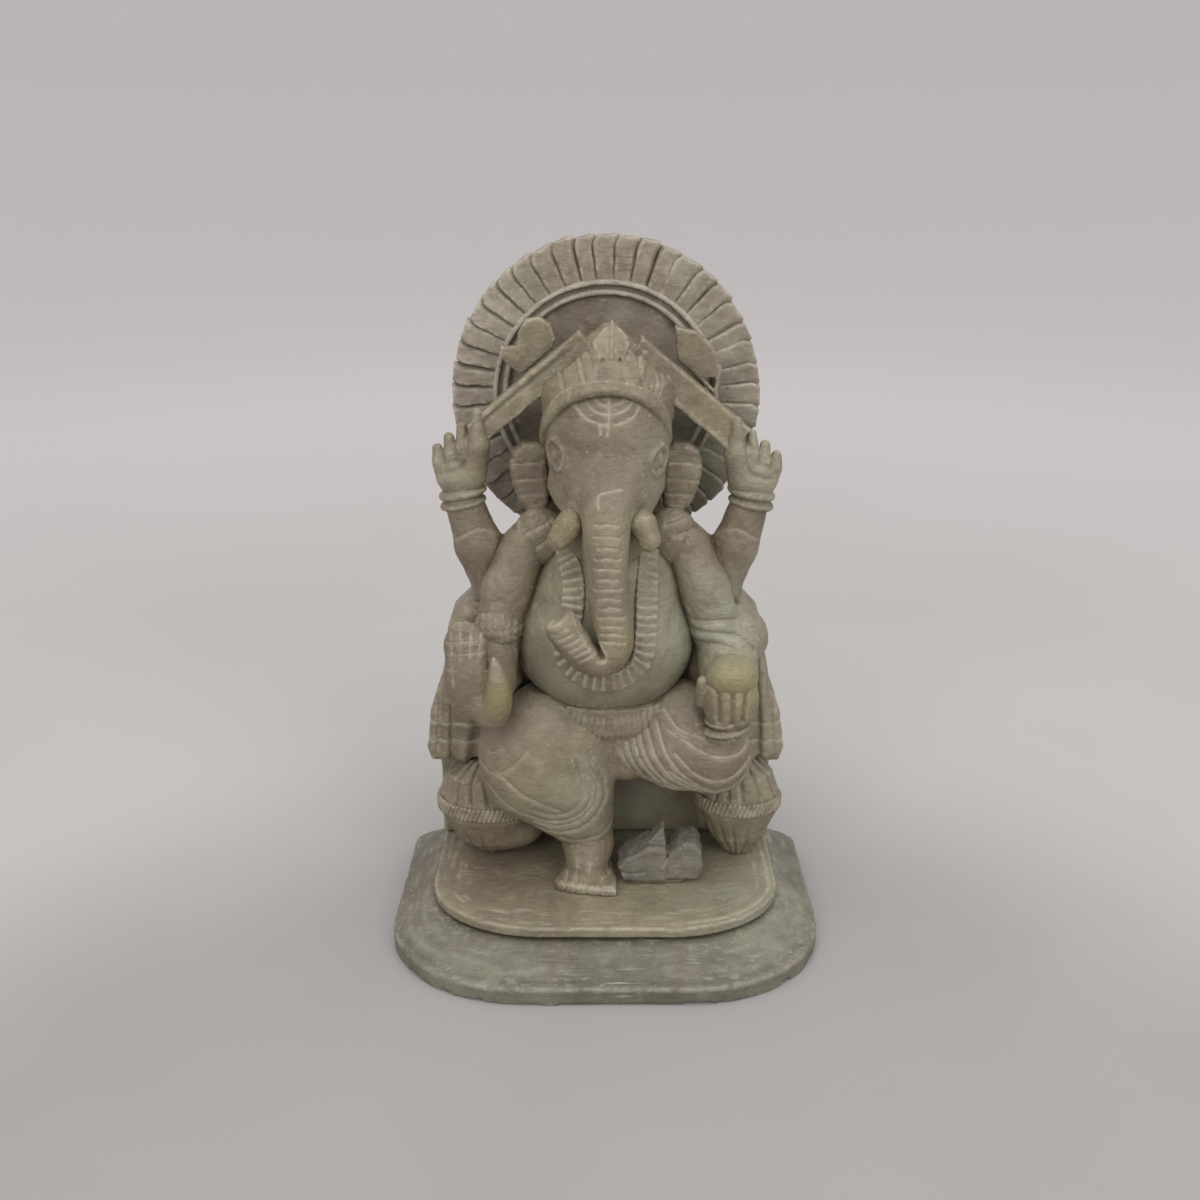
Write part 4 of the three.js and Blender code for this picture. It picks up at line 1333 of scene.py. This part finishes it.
# %% Plinth
PLINTH_LOW, PLINTH_TOP = 11.2, 14.4
plinth = Block("plinth", ["plinth"], margin=1.5, fine=1.2)
plinth.add(slab(plinth_plan, PLINTH_LOW, PLINTH_TOP, 0.4))
plinth.worn(0.1, 7, 133, 0.05)
inset = outline_distance(plinth_plan, plinth.x, plinth.y)
from_right = np.clip((plinth.x - 8) / 20, 0, 1) * np.clip((18 - plinth.y) / 10, 0, 1)
plinth.press(np.abs(inset + 2.0), 0.45, 0.25, 1.0, from_right)
say_blocks("plinth")

# %% [markdown]
# ## Rubbed streaks and chips
# A rasp leaves scratches that follow an edge and fade in and out. Knocks leave chips along a rim.


# %% Streaks and chips
def streaks(block, inset, near, far, count, width, dust, seed):
    """Dusty scratches that run along an edge, between two distances from it, and fade in and out."""
    for number, line in enumerate(np.random.default_rng(seed).uniform(near, far, count)):
        broken = drift((block.x, block.y, block.z * 0.1), 6, seed + number)
        block.press(np.abs(inset + line), width, 0.08, dust, np.clip(broken * 2.4 - 0.7, 0, 1))


def chip(block, rim, height, count, seed, size=(0.5, 1.5)):
    """Small chips along a rim."""
    draw = np.random.default_rng(seed)
    outside = 1.006
    for _ in range(count):
        a = int(draw.integers(len(rim)))
        b = (a + 1) % len(rim)
        t = draw.uniform()
        x, y = (rim[a][i] + (rim[b][i] - rim[a][i]) * t for i in range(2))
        radius = draw.uniform(*size)
        centre = (x * outside, y * outside, height)
        block.cut(ball(centre, (radius * 1.7, radius * 1.7, radius * 0.5)), 0.2)


streaks(plinth, inset, 0.8, 9, 16, 0.32, 0.8, 161)
streaks(base, sides, 0.8, 11, 16, 0.42, 0.55, 181)
chip(plinth, plinth_plan, PLINTH_TOP, 40, 141, (0.4, 1.1))
chip(base, base_low, 0.4, 16, 142)
chip(base, base_low, BASE_EDGE, 22, 143, (0.4, 1.0))
print("dusty voxels on the plinth:", int((plinth.dust > 0.4).sum()))

# %% [markdown]
# ## Clouds of colour
# The stone's larger patches of brown, green and yellow lie across several parts, together with painted
# shade under the raised hand and in the halo's deepest corners, and painted light on the belly's lit side.
# Each is a soft ball with a centre, a reach and a strength, and every finished mesh reads how much of each
# colour it has.

# %% Clouds of colour
CLOUDS = {
    # Brown clouds; the one at (-28, -8, 69), under the raised hand, is painted shade.
    "umber": (
        ((0, -6, 143), 8, 0.75), ((-36, 14, 112), 13, 0.7), ((-40, -14, 84), 9, 0.6),
        ((-28, -8, 69), 10, 0.8), ((26, -6, 66), 11, 0.9), ((26, 8, 104), 9, 0.6),
        ((1.5, -20, 110), 8, 0.45), ((-34, 2, 24), 16, 0.6), ((-30, -10, 14), 18, 0.5),
        ((23, 12, 134), 8, 0.5), ((-24, 12, 130), 10, 0.6), ((31, 14, 114), 8, 0.7),
        ((4, -4, 64), 11, 0.5), ((-40, 28, 160), 16, 0.25), ((0, 31, 174), 15, 1.0), ((-8, 2, 20), 12, 0.3),
        ((-52, 10, 5), 22, 0.4), ((24, 10, 168), 10, 0.3), ((-30, 8, 98), 8, 0.4),
    ),
    # Green clouds; the strong one at (20, -2, 94) is painted light on the lit side of the belly.
    "verd": (
        ((20, -2, 94), 15, 1.0), ((-16, -6, 82), 10, 0.5), ((-10, -8, 44), 12, 0.6), ((32, 6, 98), 10, 0.7),
        ((40, 0, 90), 10, 0.5), ((12, -2, 146), 10, 0.6), ((6, -8, 130), 8, 0.6), ((42, 10, 140), 11, 0.6),
        ((36, -12, 14), 16, 0.7), ((52, 0, 6), 20, 0.5), ((12, 24, 28), 14, 0.8), ((-30, -36, 4), 14, 0.4),
        ((30, 26, 140), 12, 0.8), ((-44, 10, 136), 9, 0.4), ((50, 10, 60), 12, 0.4), ((20, 28, 128), 10, 0.7),
    ),
    "honey": (
        ((-28.6, -16, 81), 5.5, 0.9), ((36, -12, 84), 7, 0.6), ((40, -12, 78), 4, 0.5),
        ((-20, -12, 56), 10, 0.25), ((5, -19, 98), 6, 0.35), ((28, 12, 154), 8, 0.3),
    ),
    # Painted shade in the halo's dish behind the bars and the head, and behind the ears.
    "grime": (
        ((-25, 28, 148), 9, 1.0), ((26, 28, 148), 8, 1.0), ((20, 14, 155), 5, 0.5), ((0, 31, 178), 11, 0.3),
        ((-20, 22, 136), 6, 0.6), ((20, 22, 136), 6, 0.4),
    ),
}


def paint_clouds(mesh):
    """Writes the clouds on a finished mesh. They run on from one part into the next."""
    places = np.empty(3 * len(mesh.vertices), np.float32)
    mesh.vertices.foreach_get("co", places)
    places = places.reshape(-1, 3) / MM
    for colour, clouds in CLOUDS.items():
        amount = np.zeros(len(places), np.float32)
        for centre, reach, strength in clouds:
            away = np.linalg.norm(places - np.array(centre, np.float32), axis=1)
            amount += strength * np.exp(-((away / reach) ** 2))
        mesh.attributes.new(colour, "FLOAT", "POINT").data.foreach_set("value", np.clip(amount, 0, 1))


print("clouds:", {colour: len(clouds) for colour, clouds in CLOUDS.items()})

# %% [markdown]
# ## From blocks to meshes
# The shared mass is filled first, so that a corner between two parts counts as a hollow too. Then each
# block is meshed, and every vertex reads its dust, edge and hollow from the grids.


# %% Block to mesh
def loose_islands(count, edges):
    """A label for each vertex, the same all over one connected piece."""
    label = np.arange(count)
    while True:
        low = np.minimum(label[edges[:, 0]], label[edges[:, 1]])
        before = label.copy()
        np.minimum.at(label, edges[:, 0], low)
        np.minimum.at(label, edges[:, 1], low)
        label = label[label]
        if (label == before).all():
            return label


def largest_piece(points, quads):
    """Drops the crumbs that carving leaves beside the main piece."""
    edges = np.concatenate([quads[:, [i, (i + 1) % 4]] for i in range(4)])
    label = loose_islands(len(points), edges)
    kept = label == np.bincount(label).argmax()
    quads = quads[kept[quads[:, 0]]]
    number = np.cumsum(kept) - 1
    return points[kept], number[quads]


def mesh_block(block, softened=None):
    """The surface where the block's distance is 0, as quads that face outwards."""
    grid = openvdb.FloatGrid(FAR)
    grid.copyFromArray(np.ascontiguousarray(block.field))
    points, _, quads = grid.convertToPolygons(0.0, 0.0)
    points, quads = largest_piece(points, quads.astype(np.int64)[:, ::-1])
    place = block.low + block.voxel * points
    reach = max(1, int(round(0.8 / block.voxel)))
    around = sample(box_blur(block.field, reach), points) / (reach * block.voxel)
    corner = 0 if softened is None else sample(softened, (place - mass_low) / MASS_PITCH)
    small_hollow, deep_corner = np.clip(-around * 3.0, 0, 1), np.clip(-corner * 0.9, 0, 1)
    # The hollow number drives painted shade in hollows and deep corners, and pale powder in shallow ones.
    marks = {
        "dust": sample(block.dust, points),
        "edge": np.clip(around * 3.2, 0, 1),
        "hollow": small_hollow * 0.6 + deep_corner * 0.7,
    }
    mesh = bpy.data.meshes.new(block.name)
    mesh.vertices.add(len(place))
    mesh.vertices.foreach_set("co", (place * MM).astype(np.float32).ravel())
    mesh.loops.add(quads.size)
    mesh.loops.foreach_set("vertex_index", quads.astype(np.int32).ravel())
    mesh.polygons.add(len(quads))
    mesh.polygons.foreach_set("loop_start", np.arange(0, quads.size, 4, dtype=np.int32))
    mesh.update(calc_edges=True)
    mesh.validate()
    for name, values in marks.items():
        mesh.attributes.new(name, "FLOAT", "POINT").data.foreach_set("value", values.astype(np.float32))
    mesh.shade_smooth()
    return mesh


# %% Mesh every block
LOOKS = {
    "belly": (GREENISH, "carving_stone"),
    "tusk_left": (PALE_STONE, "pale_stone"),
    "tusk_right": (PALE_STONE, "pale_stone"),
    "sweet": (PALE_STONE, "pale_stone"),
    "mouse": (MOUSE_STONE, "grey_stone"),
    "halo_disc": (HALO_STONE, "halo_stone"),
    "plinth": (PLINTH_STONE, "plinth_stone"),
    "base_slab": (BASE_STONE, "base_stone"),
}
for block in blocks:
    block.join_mass()
mass = np.clip(mass, -3, 3)
# A narrow blur finds small corners and a wide one finds deep ones.
softened = 0.55 * box_blur(mass, 2) + 0.6 * box_blur(mass, 5)
total = 0
for block in blocks:
    mesh = mesh_block(block, softened)
    paint_clouds(mesh)
    total += 2 * len(mesh.polygons)
    piece = bpy.data.objects.new(block.name + "_stone", mesh)
    bpy.context.scene.collection.objects.link(piece)
    material, slot = LOOKS.get(block.name, (CARVING, "carving_stone"))
    mesh.materials.append(material)
    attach(piece, "root")
    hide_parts(*block.nodes)
print("blocks:", len(blocks), "triangles:", total)

# %% [markdown]
# ## What repeats: rays, garland ribs and rope twists
# The halo has 44 rays, the garland is a band of short ribs, and each cushion has a twisted band. One
# unit of each is carved, and one Geometry Nodes tree sets copies of it along a path. The path's points
# carry an "outward" direction, so that every copy knows which way to stand. Copies differ a little in
# width and turn, as hand-cut ones do.

# %% The tree that sets copies along a path
def build_copies_tree():
    tree = bpy.data.node_groups.new("copies_on_path", "GeometryNodeTree")
    face = tree.interface
    face.new_socket("Path", in_out="INPUT", socket_type="NodeSocketGeometry")
    inputs = {
        "Unit": "Object",
        "Copies": "Int",
        "Width Jitter": "Float",
        "Length Jitter": "Float",
        "Turn": "Float",
        "Turn Jitter": "Float",
        "Seed": "Int",
        "Material": "Material",
    }
    for name, kind in inputs.items():
        face.new_socket(name, in_out="INPUT", socket_type="NodeSocket" + kind)
    face.new_socket("Geometry", in_out="OUTPUT", socket_type="NodeSocketGeometry")
    given = tree.nodes.new("NodeGroupInput").outputs

    def node(kind, settings=None, sockets=None, out=0):
        made = tree.nodes.new(kind)
        for key, setting in (settings or {}).items():
            setattr(made, key, setting)
        for key, value in (sockets or {}).items():
            socket = made.inputs[key]
            if isinstance(value, bpy.types.NodeSocket):
                tree.links.new(value, socket)
            else:
                socket.default_value = value
        return made.outputs[out]

    def spread(amount, seed_step):
        """A random number between -amount and amount for each copy."""
        lowest = node("ShaderNodeMath", {"operation": "MULTIPLY"}, {0: amount, 1: -1.0})
        seed = node("ShaderNodeMath", {"operation": "ADD"}, {0: given["Seed"], 1: seed_step})
        return node("FunctionNodeRandomValue", {"data_type": "FLOAT"}, {2: lowest, 3: amount, 8: seed}, 1)

    curve = node("GeometryNodeMeshToCurve", {}, {"Mesh": given["Path"]})
    stops = node("GeometryNodeResampleCurve", {}, {"Curve": curve, "Count": given["Copies"]})
    outward = node("GeometryNodeInputNamedAttribute", {"data_type": "FLOAT_VECTOR"}, {"Name": "outward"})
    stand = node(
        "FunctionNodeAxesToRotation",
        {"primary_axis": "Z", "secondary_axis": "X"},
        {0: outward, 1: node("GeometryNodeInputTangent")},
    )
    turn = node("ShaderNodeMath", {}, {0: given["Turn"], 1: spread(given["Turn Jitter"], 1)})
    turned_by = node("ShaderNodeCombineXYZ", {}, {"Z": turn})
    local = node("FunctionNodeEulerToRotation", {}, {0: turned_by})
    stand = node("FunctionNodeRotateRotation", {"rotation_space": "LOCAL"}, {0: stand, 1: local})
    width = node("ShaderNodeMath", {}, {0: spread(given["Width Jitter"], 2), 1: 1.0})
    tall = node("ShaderNodeMath", {}, {0: spread(given["Length Jitter"], 3), 1: 1.0})
    size = node("ShaderNodeCombineXYZ", {}, {"X": width, "Y": 1.0, "Z": tall})
    unit = node("GeometryNodeObjectInfo", {}, {"Object": given["Unit"]}, "Geometry")
    placed = {"Points": stops, "Instance": unit, "Rotation": stand, "Scale": size}
    copies = node("GeometryNodeInstanceOnPoints", {}, placed)
    solid = node("GeometryNodeRealizeInstances", {}, {"Geometry": copies})
    solid = node("GeometryNodeSetMaterial", {}, {"Geometry": solid, "Material": given["Material"]})
    tree.links.new(solid, tree.nodes.new("NodeGroupOutput").inputs[0])
    return tree


COPIES = build_copies_tree()
print("nodes in the tree:", len(COPIES.nodes))


# %% Repeat a unit along a path
def repeat(name, unit, path, outward, closed, material, nodes, slot, **sizes):
    """Copies of a carved unit along a path of points, made into one plain mesh."""
    count = len(path)
    edges = [(i, (i + 1) % count) for i in range(count if closed else count - 1)]
    mesh = bpy.data.meshes.new(name + "_path")
    mesh.from_pydata([tuple(c * MM for c in p) for p in path], edges, [])
    flat = np.array(outward, np.float32)
    flat = flat / np.linalg.norm(flat, axis=1)[:, None]
    mesh.attributes.new("outward", "FLOAT_VECTOR", "POINT").data.foreach_set("vector", flat.ravel())
    carrier = bpy.data.objects.new(name + "_path", mesh)
    unit_object = bpy.data.objects.new(name + "_unit", mesh_block(unit))
    for made in (carrier, unit_object):
        bpy.context.scene.collection.objects.link(made)
    live = carrier.modifiers.new("copies", "NODES")
    live.node_group = COPIES
    sizes.update({"Unit": unit_object, "Material": material})
    for item in COPIES.interface.items_tree:
        if item.in_out == "INPUT" and item.name in sizes:
            live[item.identifier] = sizes[item.name]
    graph = bpy.context.evaluated_depsgraph_get()
    plain = bpy.data.meshes.new_from_object(carrier.evaluated_get(graph))
    bpy.data.objects.remove(carrier)
    bpy.data.objects.remove(unit_object)
    plain.shade_smooth()
    paint_clouds(plain)
    piece = bpy.data.objects.new(name, plain)
    bpy.context.scene.collection.objects.link(piece)
    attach(piece, "root")
    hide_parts(*nodes)
    print(name, "triangles:", 2 * len(plain.polygons))


# %% Halo rays
RAY_INNER, RAY_OUTER, RAY_DEPTH = 31.2, 44.2, 8.0
RAYS, RAY_Y = 44, 32.0
RAY_LENGTH = RAY_OUTER - RAY_INNER
RAY_FACE = [(-2.9, 0), (-3.8, RAY_LENGTH - 2.4), (-2.7, RAY_LENGTH - 0.3), (3.1, RAY_LENGTH), (2.5, 0)]
ray = Block("ray", [], margin=1.5, fine=1.3, corners=((-3.6, -4, 0), (3.6, 4, RAY_LENGTH)))
ray.add(plate(RAY_FACE, -RAY_DEPTH / 2, RAY_DEPTH / 2, 0.2))
ray.cut(lambda x, y, z: (y + 3.9 - 0.85 * (x - 1.2)) * 0.76)
ray.score([[(1.2, 0), (1.5, RAY_LENGTH)]], 0.3, 0.0, 0.5)
ray.worn(0.16, 3, 151)


def circle(count):
    """Angles all the way round."""
    return [2 * math.pi * i / count for i in range(count)]


ring = [(RAY_INNER * math.sin(a), RAY_Y, HALO_HEIGHT + RAY_INNER * math.cos(a)) for a in circle(176)]
ray_settings = {
    "Copies": RAYS,
    "Width Jitter": 0.15,
    "Length Jitter": 0.022,
    "Turn": math.radians(8),
    "Turn Jitter": math.radians(4),
    "Seed": 5,
}
outward = [(math.sin(a), 0, math.cos(a)) for a in circle(176)]
repeat("halo_rays_stone", ray, ring, outward, True, HALO_STONE, ["halo_rays"], "halo_stone", **ray_settings)

# %% Garland
GARLAND = [
    (-10.6, 116.4), (-8.6, 109.4), (-9.6, 99), (-11, 91.4), (-7, 86.4), (-1, 84.4), (5.6, 85.8),
    (9.6, 90.2), (10.8, 98), (11, 107), (11.6, 116.4),
]
rib = Block("rib", [], margin=1.2, fine=0.95, corners=((-1.9, -3.4, -1.9), (1.9, 3.4, 1.4)))
rib.add(slab([(-1.8, -3.2), (1.8, -3.2), (1.8, 3.2), (-1.8, 3.2)], -1.8, 1.0, 0.6))
rib.worn(0.2, 2, 153)
rib.score([[(-1.3, -3.4), (-1.3, 3.4)]], 0.5, 0.0, 0.7, plane="xy")
strand = smooth_path(belly.on_face(GARLAND, 0.4), 8)
rib_settings = {
    "Copies": 36,
    "Width Jitter": 0.12,
    "Length Jitter": 0.05,
    "Turn": 0.0,
    "Turn Jitter": math.radians(6),
    "Seed": 7,
}
outward = [(x * 0.7, y - 14, (z - 100) * 0.5) for x, y, z in strand]
repeat("garland_stone", rib, strand, outward, False, CARVING, ["garland"], "carving_stone", **rib_settings)

# %% Cushion bands
BAND_HEIGHT = 33.6
twist = Block("twist", [], margin=1.2, fine=1.3, corners=((-2.2, -2.6, -1), (2.2, 2.6, 1.4)))
twist.add(limb([(-0.7, -1.6, -0.2), (0.7, 1.6, -0.2)], 0.85))
outward = [(math.sin(a), -math.cos(a), 0.0) for a in circle(96)]
for side, (x, radius) in CUSHIONS.items():
    band = []
    for a in circle(96):
        out_x, out_y = radius + 0.4, radius * CUSHION_FLAT + 0.4
        height = BAND_HEIGHT + 1.2 * math.cos(a)
        band.append((x + out_x * math.sin(a), CUSHION_Y - out_y * math.cos(a), height))
    twist_settings = {
        "Copies": int(radius * 4.4),
        "Width Jitter": 0.05,
        "Length Jitter": 0.04,
        "Turn": 0.0,
        "Turn Jitter": 0.05,
        "Seed": 9,
    }
    name = f"cushion_band_{side}"
    repeat(name + "_stone", twist, band, outward, True, CARVING, [name], "carving_stone", **twist_settings)

# %% [markdown]
# ## The last pieces
# The two beds of adhesive need no carving, so the modelled ones stay and only get their material.

# %% The two beds of adhesive stay as they were modelled
for node in ("adhesive_bed", "mouse_adhesive"):
    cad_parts[node].data.materials.clear()
    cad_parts[node].data.materials.append(ADHESIVE)
print("adhesive:", ADHESIVE.name)
